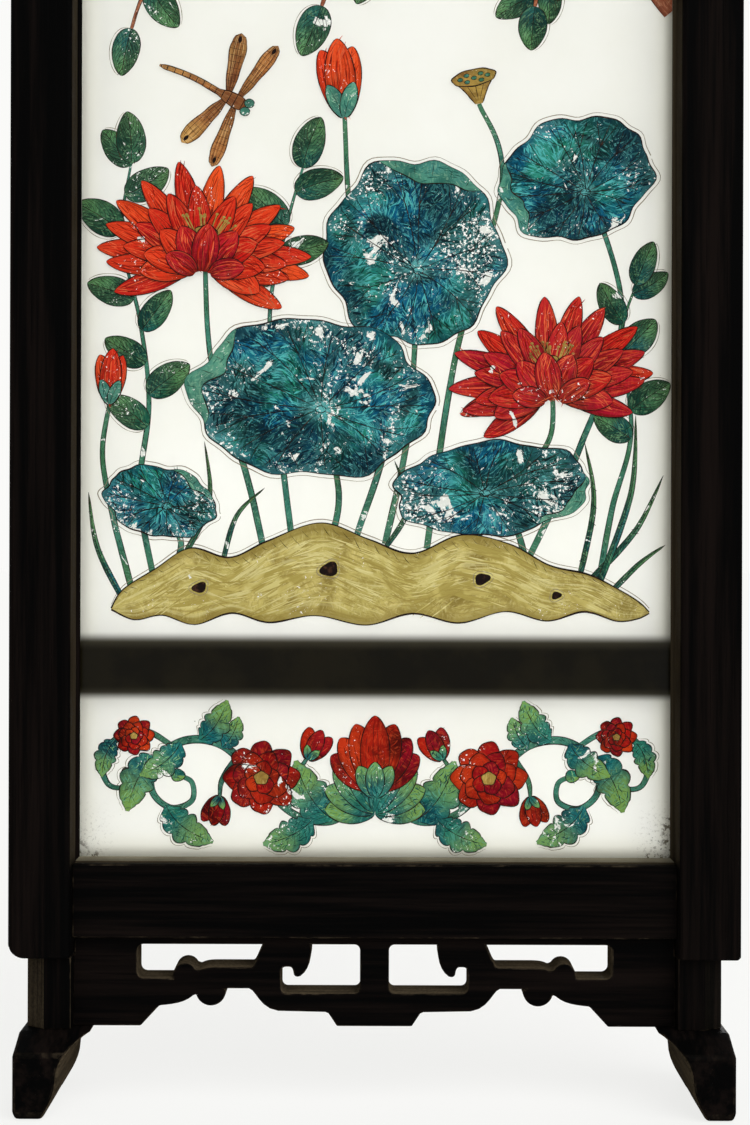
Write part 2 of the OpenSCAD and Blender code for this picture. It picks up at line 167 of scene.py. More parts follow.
def blackwood(name, grain, rawAndLitAmount=0.0, wornAndLitFrom=None, litDepths=None, dusty=0.0):
    # grain is the axis that the fibres run along; the amount after it shows more of the unpolished brown, which on
    # the beads is painted light from the pane; the next is the height where a stile's wear and painted light
    # start, above the rail that covers it, then where from front to back the painted light on the sill's top
    # rises, and dusty how much dust lies on the piece
    material, where = newMaterial(name)
    scale = [wood["grainAcross"]] * 3
    scale[grain] = wood["grainAlong"]
    bands = noise(stretched(where, [value * 0.22 for value in scale]), 1.0, 3, 0.5, 0.4)
    fine = noise(stretched(where, scale), 1.0, 5, 0.6, 0.2)
    close = [value * (2.6 if i != grain else 1.6) for i, value in enumerate(scale)]
    pores = spread(noise(stretched(where, close), 1.0, 2, 0.5), 0.6, 0.72)
    tone = plus(times(bands, 0.7), times(fine, 0.45))
    colour = blend(spread(tone, 0.5, 0.76), wood["darkest"], wood["streak"])
    patchy = noise(where, 55, 5, 0.62, 0.3)
    rubbed = spread(noise(where, 230, 5, 0.65), 0.4, 0.62)
    wear, raw = attribute("wear"), attribute("raw")
    axes = put("ShaderNodeSeparateXYZ", {0: where}).outputs
    if litDepths:
        raw = times(raw, spread(axes[1], *litDepths))
    if wornAndLitFrom:
        shown = spread(axes[2], wornAndLitFrom - 2 * mm, wornAndLitFrom + 4 * mm)
        wear, raw = times(wear, shown), times(raw, shown)
    grit = spread(noise(where, 900, 4, 0.7), 0.36, 0.6, 0.55, 1.0)
    # painted light: the marked faces, and a whole bead, are painted a lighter unpolished brown for the light they
    # catch; on the rear stops the same brown is their bare wood
    bare = times(raw, times(grit, spread(patchy, 0.3, 0.6, 0.7, 1.0)))
    bare = maths("ADD", bare, rawAndLitAmount, clamp=True)
    brown = blend(spread(fine, 0.3, 0.7), blend(0.45, wood["raw"], wood["streak"]),
                  blend(0.4, wood["raw"], wood["worn"]))
    colour = blend(bare, colour, brown)
    if dusty:
        colour = blend(spread(plus(patchy, fine), 0.7, 1.2, 0.6 * dusty, dusty), colour, wood["dust"])
    tan = blend(spread(fine, 0.35, 0.65), blend(0.5, wood["worn"], wood["streak"]), wood["worn"])
    colour = blend(times(wear, times(rubbed, spread(patchy, 0.46, 0.62, 0.08, 0.85))), colour, tan)
    colour = blend(times(pores, 0.6), colour, wood["pore"])
    shine = spread(plus(fine, times(patchy, 0.6)), 0.55, 1.05, *wood["roughness"])
    relief = bump(maths("SUBTRACT", times(fine, 0.6), pores), 0.35, 0.0002)
    matt = wired("ShaderNodeBsdfDiffuse", {"Color": colour, "Roughness": 0.8, "Normal": relief})
    return finished(material, mixed(spread(bare, 0.05, 0.5), coat(colour, shine, wood["specular"], relief), matt))


uprightWood = blackwood("blackwood_upright", 2)
stileWood = blackwood("blackwood_stile", 2, wornAndLitFrom=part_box("bottom_rail")[1].z)
# painted light: the sill bead and the right bead are painted a lighter brown where the pane lights them; the sill
# bead has dust too
sillBeadWood = blackwood("bead_wood_sill", 0, 0.8, dusty=0.6)
sideBeadWood = blackwood("bead_wood_side", 2, 0.5)
# painted light: the sill's top is painted a lighter brown towards the pane
sillWood = blackwood("blackwood_sill", 0,
                     litDepths=(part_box("bottom_rail")[0].y + 1 * mm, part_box("bead_bottom")[0].y))
levelWood = blackwood("blackwood_level", 0)
footWood = blackwood("blackwood_foot", 1)
stopWoodUpright = blackwood("stop_wood_upright", 2, 0.35)
stopWoodLevel = blackwood("stop_wood_level", 0, 0.35)
print("blackwood mixed")

# softening of each worked edge, in mm, and what else the piece shows; bare is a way that faces turn, how closely
# they have to, and how much lighter brown they are painted, as painted light where they catch the light of the
# pane and the backdrop; the apron's walls and the legs' slanted faces are painted lighter in the same way
workedPieces = {
    "left_stile": {"wood": stileWood, "edge": 0.9, "body": "panel", "rub": 0.8, "bare": ((1, 0, 0), 0.9, 0.4)},
    "right_stile": {"wood": stileWood, "edge": 0.9, "body": "panel", "rub": 0.8, "bare": ((-1, 0, 0), 0.9, 0.4)},
    "top_rail": {"wood": levelWood, "edge": 0.9, "body": "panel", "rub": 0.5},
    "bottom_rail": {"wood": sillWood, "edge": 0.7, "body": "panel", "rub": 0.35, "bare": ((0, 0, 1), 0.9, 0.9)},
    "rear_cross_rail": {"wood": levelWood, "edge": 0.8, "body": "panel"},
    "left_leg": {"wood": uprightWood, "edge": 0.6, "body": "stand", "rub": 0.35, "wornBevel": 0.42},
    "right_leg": {"wood": uprightWood, "edge": 0.6, "body": "stand", "rub": 0.35, "wornBevel": 0.04},
    "left_foot": {"wood": footWood, "edge": 1.6, "body": "stand", "rub": 0.3, "bare": ((1, 0, 0), 0.3, 0.7)},
    "right_foot": {"wood": footWood, "edge": 1.6, "body": "stand", "rub": 0.3, "bare": ((-1, 0, 0), 0.3, 0.7)},
    "apron": {"wood": levelWood, "edge": 0.55, "body": "stand", "rub": 0.45, "rawWalls": 0.9},
}
for place in ("left_upper", "left_lower", "right_upper", "right_lower", "top", "bottom"):
    stopWood = stopWoodUpright if "_" in place else stopWoodLevel
    workedPieces["rear_stop_" + place] = {"wood": stopWood, "edge": 0.5, "body": "panel"}
sharpAngle = math.radians(34)


def isHoleRim(edge):
    # the short edges round a pin's or brad's hole, which stay crisp
    return edge.calc_length() < 0.5 * mm and min(f.calc_area() for f in edge.link_faces) < 4 * mm * mm


def workedPiece(node, facts):
    # a copy of the CAD solid with softened edges, and with its wear written on its faces
    bm = bmesh.new()
    bm.from_mesh(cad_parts[node].data)
    bmesh.ops.remove_doubles(bm, verts=bm.verts, dist=0.002 * mm)
    bmesh.ops.dissolve_limit(bm, angle_limit=math.radians(0.4), verts=bm.verts, edges=bm.edges)
    sharp = [e for e in bm.edges if len(e.link_faces) == 2
             and e.calc_face_angle() > sharpAngle and not isHoleRim(e)]
    bmesh.ops.bevel(bm, geom=sharp, offset=facts["edge"] * mm, offset_type="OFFSET", segments=3,
                    profile=0.5, affect="EDGES", clamp_overlap=False, material=1)
    bmesh.ops.remove_doubles(bm, verts=bm.verts, dist=0.01 * mm)
    wear = bm.faces.layers.float.new("wear")
    raw = bm.faces.layers.float.new("raw")
    # painted light: faces that turn the bare way, the apron's walls and the legs' slanted faces are marked for a
    # lighter brown
    way, closeness, amount = facts.get("bare", ((0, 0, 1), 2, 0.0))
    for face in bm.faces:
        normal = face.normal
        slanted = 0.3 < abs(normal.x) < 0.95 and 0.3 < abs(normal.y) < 0.95
        face[wear] = facts.get("rub", 1.0) if face.material_index == 1 else 0.0
        face[raw] = max(facts.get("rawWalls", 0.0) * (abs(normal.y) < 0.3), facts.get("wornBevel", 0.0) * slanted,
                        amount * (normal.dot(Vector(way)) > closeness))
        face.material_index = 0
        face.smooth = True
    mesh = bpy.data.meshes.new(node + "_worked")
    bm.to_mesh(mesh)
    bm.free()
    mesh.materials.append(facts["wood"])
    mesh.set_sharp_from_angle(angle=sharpAngle)
    piece = newObject(node + "_worked", mesh)
    piece.modifiers.new("flat_faces_stay_flat", "WEIGHTED_NORMAL").keep_sharp = True
    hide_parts(node)
    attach(piece, facts["body"])
    print("worked", node, len(mesh.polygons), "faces")


for node, facts in workedPieces.items():
    workedPiece(node, facts)


milkGlass = {
    "white": (248, 248, 243),
    "shadedUpperWhite": (236, 236, 231),
    "haze": (242, 241, 233),
    "rearWhite": (254, 254, 253),
    "shadedRearFace": (228, 229, 225),
    "railShadeHeart": (20, 16, 2),
    "railShadeCloud": (33, 28, 10),
    "railShadeEdge": (80, 76, 60),
    "rimShade": (94, 88, 40),
    "rimTint": (250, 249, 238),
    "grime": (74, 62, 26),
    "through": 0.6,
    "roughness": 0.16,
    "gloss": 0.25,
}


def strip(value, rise, full, fall, end):
    return times(spread(value, rise, full), spread(value, fall, end, 1.0, 0.0))


def milkGlassMaterial():
    material, where = newMaterial("milk_glass")
    across, depth, up = put("ShaderNodeSeparateXYZ", {0: where}).outputs
    foot, head = (corner.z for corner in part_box("rear_cross_rail"))
    near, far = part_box("glass_pane")
    # painted shade: the rail behind the pane is painted on its front as a dark band, softer along its top edge
    railShade = strip(up, foot - 2.4 * mm, foot + 1.8 * mm, head - 1.8 * mm, head + 3.2 * mm)
    heart = strip(up, foot - 1 * mm, foot + 4.5 * mm, head - 5.5 * mm, head + 1 * mm)
    cloud = spread(noise(where, 40, 5, 0.6), 0.4, 0.62)
    dark = blend(heart, milkGlass["railShadeEdge"], blend(cloud, milkGlass["railShadeHeart"], milkGlass["railShadeCloud"]))
    # painted shade: the pane's rim is painted darker where the rebate shades it, most of all at the sill and on
    # the right;
    # near its sides and sill the pane is also tinted warmer
    rim = most(spread(across, far.x - 5.5 * mm, far.x - 0.5 * mm, 0.0, 0.4),
               most(spread(up, near.z + 0.5 * mm, near.z + 7 * mm, 0.38, 0.0),
                    spread(up, far.z - 5 * mm, far.z, 0.0, 0.3)))
    side = maths("ABSOLUTE", across)
    warmRim = most(spread(side, far.x - 12 * mm, far.x - 2 * mm),
                spread(up, near.z + 2 * mm, near.z + 16 * mm, 1.0, 0.0))
    # dust in the lower corners: a haze, fine specks, and dark clusters close to the rim
    corner = times(spread(up, near.z + 4 * mm, near.z + 30 * mm, 1.0, 0.0),
                   spread(side, far.x - 20 * mm, far.x - 2 * mm))
    corner = times(corner, spread(across, -10 * mm, 10 * mm, 0.55, 1.0))
    specks = spread(noise(where, 700, 6, 0.72), 0.53, 0.64)
    close = most(spread(side, far.x - 6 * mm, far.x - 3 * mm),
                 spread(up, near.z + 2 * mm, near.z + 5 * mm, 1.0, 0.0))
    clusters = times(spread(noise(where, 420, 6, 0.7), 0.5, 0.56),
                     times(close, spread(plus(corner, noise(where, 60, 2)), 0.75, 1.1)))
    spots = spread(noise(where, 330, 2, 0.6), 0.795, 0.82, 0.0, 0.8)
    dust = most(most(times(corner, specks), clusters), spots)
    haze = spread(noise(where, 14, 4, 0.55), 0.3, 0.75)
    # painted shade: the front of the pane is painted darker towards its top
    colour = blend(spread(up, 0.19, 0.5), milkGlass["white"], milkGlass["shadedUpperWhite"])
    colour = blend(times(haze, 0.3), colour, milkGlass["haze"], "MULTIPLY")
    for amount, tone in ((warmRim, milkGlass["rimTint"]), (rim, milkGlass["rimShade"]), (railShade, dark),
                         (times(dust, 0.85), milkGlass["grime"])):
        colour = blend(amount, colour, tone)
    rear = spread(depth, far.y - 0.2 * mm, far.y - 0.1 * mm)    # the shading lies on the front alone
    # painted shade: the rear face is a darker white than the front, toned down against the strong back light
    body = coat(blend(rear, colour, milkGlass["shadedRearFace"]), milkGlass["roughness"], milkGlass["gloss"],
                bump(noise(where, 22, 2, 0.5), 0.08, 0.001))
    glow = wired("ShaderNodeBsdfTranslucent", {"Color": blend(rear, colour, milkGlass["rearWhite"])})
    return finished(material, mixed(milkGlass["through"], body, glow))


def carried(material, *nodes):
    for node in nodes:
        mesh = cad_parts[node].data
        mesh.materials.clear()
        mesh.materials.append(material)
        for face in mesh.polygons:
            face.material_index = 0


carried(milkGlassMaterial(), "glass_pane")
print("milk glass in place")


# the painting: thin films of paint in front of the glass, drawn in mm as (x, z)
paintFilm = {
    "thickness": 0.012,
    "rim": 0.15,
    "specular": 0.05,
    "bareGlass": ((226, 229, 221), (252, 252, 247)),
    "seed": 11,
}
chance = random.Random(paintFilm["seed"])
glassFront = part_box("glass_pane")[0].y / mm
# how far the pane can be seen inside its beads: left, right, floor, head
sight = (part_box("bead_left")[1].x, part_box("bead_right")[0].x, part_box("bead_bottom")[1].z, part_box("bead_top")[0].z)


def newFilm():
    return {"points": [], "faces": [], "uvs": [], "tones": [], "flows": [], "insets": []}


def addPoint(film, x, z, lift, uv, tone, flow, inset):
    film["points"].append((x, glassFront - lift, z))
    film["uvs"].append(uv)
    film["tones"].append(tone)
    film["flows"].append((flow[0], 0, flow[1]))
    film["insets"].append(inset)


def smoothPath(points, step=1.5):
    # a Catmull-Rom line through the points, sampled about every step
    count = len(points)
    made = []
    for i in range(count - 1):
        a, b, c, d = points[max(i - 1, 0)], points[i], points[i + 1], points[min(i + 2, count - 1)]
        parts = max(2, round(math.dist(b, c) / step))
        for k in range(parts):
            t = k / parts
            made.append(tuple(0.5 * (2 * q + (r - p) * t + (2 * p - 5 * q + 4 * r - s) * t * t
                                     + (3 * q - p - 3 * r + s) * t ** 3)
                              for p, q, r, s in zip(a, b, c, d)))
    return made + [tuple(points[-1])]


def profile(*keys):
    # a smooth width along a stroke, from (place, width) pairs
    def width(t):
        for (t0, w0), (t1, w1) in zip(keys, keys[1:]):
            if t <= t1:
                f = (t - t0) / (t1 - t0)
                f = f * f * (3 - 2 * f)
                return w0 + (w1 - w0) * f
        return keys[-1][1]
    return width


def sides(path, halfWidth):
    # the left and right edge of a stroke
    total = len(path) - 1
    left, right = [], []
    for i, (x, z) in enumerate(path):
        x0, z0 = path[max(i - 1, 0)]
        x1, z1 = path[min(i + 1, total)]
        long = math.hypot(x1 - x0, z1 - z0) or 1
        dx, dz = (x1 - x0) / long, (z1 - z0) / long
        w = halfWidth(i / total)
        left.append((x - dz * w, z + dx * w))
        right.append((x + dz * w, z - dx * w))
    return left, right


def sheetBetween(film, first, second, lift, tone, across=3):
    # a film between two edges with the same number of points
    start, total = len(film["points"]), len(first) - 1
    for i, (a, b) in enumerate(zip(first, second)):
        n = min(i + 1, total)
        m = max(n - 1, 0)
        flow = (first[n][0] - first[m][0], first[n][1] - first[m][1])
        for k in range(across + 1):
            v = k / across
            addPoint(film, *along(a, b, v), lift, (i / total, v), tone, flow,
                     min(v, 1 - v, 0.5 * math.sin(math.pi * i / total)) * 2)
    for i in range(total):
        for k in range(across):
            a = start + i * (across + 1) + k
            film["faces"].append((a, a + 1, a + across + 2, a + across + 1))


def stroke(film, path, halfWidth, lift, tone, across=3):
    sheetBetween(film, *sides(path, halfWidth), lift, tone, across)


def disc(film, heart, rim, lift, tone, rings=7):
    # a film from the heart out to a closed rim
    start, count = len(film["points"]), len(rim)
    for k in range(1, rings + 1):
        v = k / rings
        for i, (x, z) in enumerate(rim):
            addPoint(film, *along(heart, (x, z), v), lift, (i / count, v), tone, (x - heart[0], z - heart[1]),
                     min(1.0, (1 - v) * 4))
    addPoint(film, *heart, lift, (0.5, 0), tone, (1, 0), 0.0)
    middle = len(film["points"]) - 1
    for i in range(count):
        j = (i + 1) % count
        film["faces"].append((middle, start + i, start + j))
        for k in range(rings - 1):
            a = start + k * count
            film["faces"].append((a + i, a + count + i, a + count + j, a + j))


def inkLine(path, width, lift, taper=True, film=None):
    # a pen line whose width wanders a little
    wander = chance.uniform(0, 6)

    def half(t):
        end = min(1, 6 * t + 0.25, 6 * (1 - t) + 0.25) if taper else 1
        return 0.5 * width * end * (0.86 + 0.24 * math.sin(wander + 21 * t) + 0.12 * math.sin(wander + 57 * t))
    stroke(film or ink, path, half, lift, chance.random(), across=1)


def inkRing(rim, width, lift):
    inkLine(rim + rim[:2], width, lift, taper=False)


def inked(film, path, half, lift, tone, width, inkLift, across=4):
    # a stroke with a pen line along both edges
    stroke(film, path, half, lift, tone, across)
    edges = sides(path, half)
    for edge in edges:
        inkLine(edge, width, inkLift)
    return edges


def ovalRim(centre, across, up, turn=0.0, waves=(), count=60):
    # a rim round an oval; waves are (how many, how deep, shift)
    made = []
    for i in range(count):
        a = 2 * math.pi * i / count
        r = 1 + sum(depth * math.sin(n * a + shift) for n, depth, shift in waves)
        x, z = across * r * math.cos(a), up * r * math.sin(a)
        made.append((centre[0] + x * math.cos(turn) - z * math.sin(turn),
                     centre[1] + x * math.sin(turn) + z * math.cos(turn)))
    return made


def along(a, b, t):
    return (a[0] + (b[0] - a[0]) * t, a[1] + (b[1] - a[1]) * t)


def threaded(a, b, places):
    return [along(a, b, t) for t in places]


def between(left, right, v):
    return [along(a, b, v) for a, b in zip(left, right)]


def polar(at, angle, reach, rise=None):
    # a point some way off at an angle; rise is its reach upwards where that differs
    return (at[0] + reach * math.cos(angle), at[1] + (reach if rise is None else rise) * math.sin(angle))


def heading(before, after):
    return math.atan2(after[1] - before[1], after[0] - before[0])


def bentPath(x, z, angle, long, bend, places):
    # a path that starts straight at the angle and bends away
    out = (math.cos(angle), math.sin(angle))
    return [(x + long * t * out[0] - long * bend * t * t * out[1],
             z + long * t * out[1] + long * bend * t * t * out[0]) for t in places]


def trim(mesh):
    # nothing is painted under the beads
    bm = bmesh.new()
    bm.from_mesh(mesh)
    for place, way in zip(sight, ((-1, 0, 0), (1, 0, 0), (0, 0, -1), (0, 0, 1))):
        edge = [value * (abs(place) if axis == 0 else place * value) for axis, value in enumerate(way)]
        edge = [value - turn * paintFilm["rim"] * mm for value, turn in zip(edge, way)]
        bmesh.ops.bisect_plane(bm, geom=bm.verts[:] + bm.edges[:] + bm.faces[:], plane_co=edge, plane_no=way,
                               clear_outer=True)
    bm.to_mesh(mesh)
    bm.free()


def filmMesh(name, film, material):
    faces = []
    for face in film["faces"]:
        flat = [film["points"][i] for i in face]
        turn = sum(p[0] * q[2] - q[0] * p[2] for p, q in zip(flat, flat[1:] + flat[:1]))
        faces.append(face if turn > 0 else face[::-1])
    mesh = bpy.data.meshes.new(name)
    mesh.from_pydata([[value * mm for value in p] for p in film["points"]], [], faces)
    uv = mesh.uv_layers.new(name="UVMap")
    for loop in mesh.loops:
        uv.data[loop.index].uv = film["uvs"][loop.vertex_index]
    mesh.attributes.new("tone", "FLOAT", "POINT").data.foreach_set("value", film["tones"])
    mesh.attributes.new("inset", "FLOAT", "POINT").data.foreach_set("value", film["insets"])
    mesh.attributes.new("flow", "FLOAT_VECTOR", "POINT").data.foreach_set(
        "vector", [value for flow in film["flows"] for value in flow])
    mesh.materials.append(material)
    trim(mesh)
    return mesh


def filmPiece(name, mesh, part=1.0):
    piece = newObject(name, mesh)
    thick = piece.modifiers.new("film_thickness", "SOLIDIFY")
    thick.thickness = paintFilm["thickness"] * part * mm
    thick.offset = -1
    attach(piece, "panel")
    print("painted", name, len(mesh.polygons), "faces")


def bristles(uv, scale, tone, shift):
    # marks along a stroke, which differ from one stroke to the next
    moved = wired("ShaderNodeCombineXYZ", {i: times(tone, far) for i, far in enumerate(shift)})
    return noise(wired("ShaderNodeVectorMath", {0: stretched(uv, scale), 1: moved}), 1.0, 3, 0.6)


def pools(where):
    # where the paint lies thick and dark
    return most(spread(noise(where, 34, 4, 0.5, 0.8), 0.5, 0.6, 0.0, 0.9),
                spread(noise(where, 21, 3, 0.5, 0.4), 0.48, 0.57, 0.0, 0.78))


def flaked(where, flake):
    # where paint has come off: a few large ragged patches, and specks that gather where it is thin
    large = spread(noise(where, 72, 8, 0.66, 0.5), 0.675 - 0.055 * flake, 0.682 - 0.055 * flake)
    clusters = spread(noise(where, 34, 3, 0.55), 0.42, 0.66)
    chips = noise(where, 820, 4, 0.66)
    specks = spread(plus(chips, times(clusters, 0.15)), 0.795 - 0.07 * flake, 0.81 - 0.07 * flake)
    return most(large, specks), blend(spread(chips, 0.5, 0.66), *paintFilm["bareGlass"]), clusters


def paint(name, dark, mid, light, other, tip=None, deep=None, hatch=0.5, streak=0.0, root=0.85, flake=0.5,
          edge=0.45, veins=0, gloss=0.45, vary=0.0, shadow=0.0):
    # hatch is how much the brush marks show, streak those along a petal, root how dark its foot is,
    # flake how much of the paint has come off, tip the colour that a leaf turns to at its end,
    # deep the colour of the pools where the paint lies thick, vary how much one shape differs from the next,
    # and shadow how dark one half of a leaf is
    material, where = newMaterial(name)
    uv = wired("ShaderNodeUVMap", uv_map="UVMap")
    tone = attribute("tone")
    lengthwise, crosswise, _ = put("ShaderNodeSeparateXYZ", {0: uv}).outputs
    mottle = noise(where, 95, 5, 0.6, 0.6)
    colour = blend(spread(mottle, 0.36, 0.62), dark, mid)
    share = plus(times(tone, 0.6), 0.4)
    colour = blend(times(spread(noise(where, 38, 3, 0.5), 0.42, 0.62), share), colour, other)
    if tip:
        colour = blend(spread(plus(lengthwise, times(mottle, 0.5)), 0.55, 1.05, 0.0, 0.9), colour, tip)
    if deep:
        colour = blend(pools(where), colour, deep)
    if vary:
        colour = wired("ShaderNodeHueSaturation", {
            "Value": plus(times(tone, vary), 1 - 0.5 * vary),
            "Hue": plus(times(tone, 0.03 * vary), 0.5 - 0.02 * vary), "Color": colour})
    if shadow:
        colour = blend(spread(plus(crosswise, times(mottle, 0.35)), 0.55, 0.75, shadow, 0.0), colour, dark)
    # short marks that turn from one small cell to the next
    cells = put("ShaderNodeTexVoronoi", {"Vector": where, "Scale": 190.0}).outputs["Color"]
    turned = wired("ShaderNodeVectorRotate", {
        "Vector": where, "Axis": (0, 1, 0), "Angle": times(wired("ShaderNodeSeparateColor", {0: cells}), 6.3)},
        rotation_type="AXIS_ANGLE")
    marks = noise(stretched(turned, (1500, 300, 300)), 1.0, 3, 0.6)
    colour = blend(times(spread(marks, 0.52, 0.66), hatch), colour, light)
    colour = blend(times(spread(marks, 0.46, 0.34), hatch), colour, dark)
    if streak:
        lines = bristles(uv, (1.6, 15, 1), tone, (37.0, 91.0))
        colour = blend(times(spread(lines, 0.52, 0.64), streak), colour, light)
        colour = blend(times(spread(lines, 0.47, 0.36), streak), colour, dark)
        colour = blend(spread(lengthwise, 0.0, 0.55, root, 0.0), colour, dark)
    if veins:
        near = maths("ABSOLUTE", maths("SUBTRACT", maths("FRACT", times(lengthwise, float(veins))), 0.5))
        ribs = times(spread(near, 0.28, 0.5), spread(crosswise, 0.1, 0.4))
        colour = blend(times(ribs, 0.55), colour, dark)
        colour = blend(spread(crosswise, 0.0, 0.2, 0.75, 0.0), colour, light)
        rim = spread(crosswise, 0.82, 1.0)
    else:
        rim = spread(maths("ABSOLUTE", maths("SUBTRACT", crosswise, 0.5)), 0.32, 0.5)
    colour = blend(times(rim, edge), colour, dark)
    gone, bare, thin = flaked(where, flake)
    colour = blend(times(thin, 0.2 * flake), colour, light)
    return finished(material, coat(blend(gone, colour, bare), spread(marks, 0.3, 0.7, gloss, gloss + 0.2),
                                   paintFilm["specular"], bump(marks, 0.25, 0.0001)))


def inkMaterial(name, dark, pale):
    material, where = newMaterial(name)
    breaks = noise(where, 420, 4, 0.6)
    return finished(material, coat(blend(spread(breaks, 0.5, 0.72), dark, pale),
                                   spread(breaks, 0.3, 0.7, 0.45, 0.7), paintFilm["specular"]))


leafPaint = paint("leaf_paint", (4, 40, 54), (8, 96, 124), (108, 190, 188), (38, 134, 110),
                  deep=(4, 20, 22), hatch=0.6, flake=1.35, veins=14)
foldPaint = paint("leaf_fold_paint", (40, 96, 84), (84, 148, 122), (150, 190, 158), (60, 130, 128),
                  hatch=0.35, flake=0.4)
stemPaint = paint("stem_paint", (36, 84, 74), (62, 128, 108), (120, 168, 140), (60, 108, 70), hatch=0.4, flake=0.5)
petalPaint = paint("petal_paint", (98, 10, 6), (192, 28, 10), (230, 96, 54), (210, 52, 20), tip=(210, 54, 24),
                   hatch=0.25, streak=0.8, flake=0.5, gloss=0.4, vary=0.75)
smallPetalPaint = paint("small_petal_paint", (104, 10, 22), (172, 28, 34), (222, 118, 104), (200, 66, 58),
                        hatch=0.35, flake=0.45, gloss=0.4, vary=0.5)
bankPaint = paint("bank_paint", (134, 116, 54), (200, 184, 108), (222, 212, 150), (182, 168, 92),
                  hatch=0.4, streak=0.5, root=0.0, flake=0.0, edge=0.75)
reedPaint = paint("reed_paint", (10, 44, 36), (30, 92, 66), (124, 168, 122), (24, 86, 92), tip=(90, 138, 84),
                  hatch=0.5, flake=0.7, edge=0.5, vary=0.4, shadow=0.7)
podPaint = paint("pod_paint", (112, 76, 34), (182, 148, 72), (214, 188, 120), (150, 128, 60), hatch=0.3, flake=0.2)
wingPaint = paint("wing_paint", (104, 56, 30), (176, 112, 58), (222, 184, 124), (196, 150, 80),
                  hatch=0.2, streak=0.7, flake=0.2)
limbPaint = paint("limb_paint", (104, 50, 34), (166, 94, 66), (206, 150, 116), (146, 84, 54),
                  hatch=0.6, streak=0.4, root=0.0, flake=0.3, edge=0.7)
leafSprayPaint = paint("garland_leaf_paint", (8, 54, 64), (16, 100, 104), (96, 170, 150), (40, 122, 96),
                       tip=(122, 160, 74), hatch=0.5, flake=0.85)
rosettePaint = paint("rosette_paint", (66, 5, 3), (148, 16, 7), (208, 78, 40), (180, 40, 14),
                     hatch=0.4, flake=0.75, vary=0.6)
inkPaint = inkMaterial("ink_paint", (24, 15, 13), (70, 46, 34))
# painted shadow: pale lines just outside the pen outlines, where the paint's shadow falls on the glass behind it
shadowLinePaint = inkMaterial("shadow_line_paint", (132, 122, 100), (176, 168, 148))
print("paints mixed")

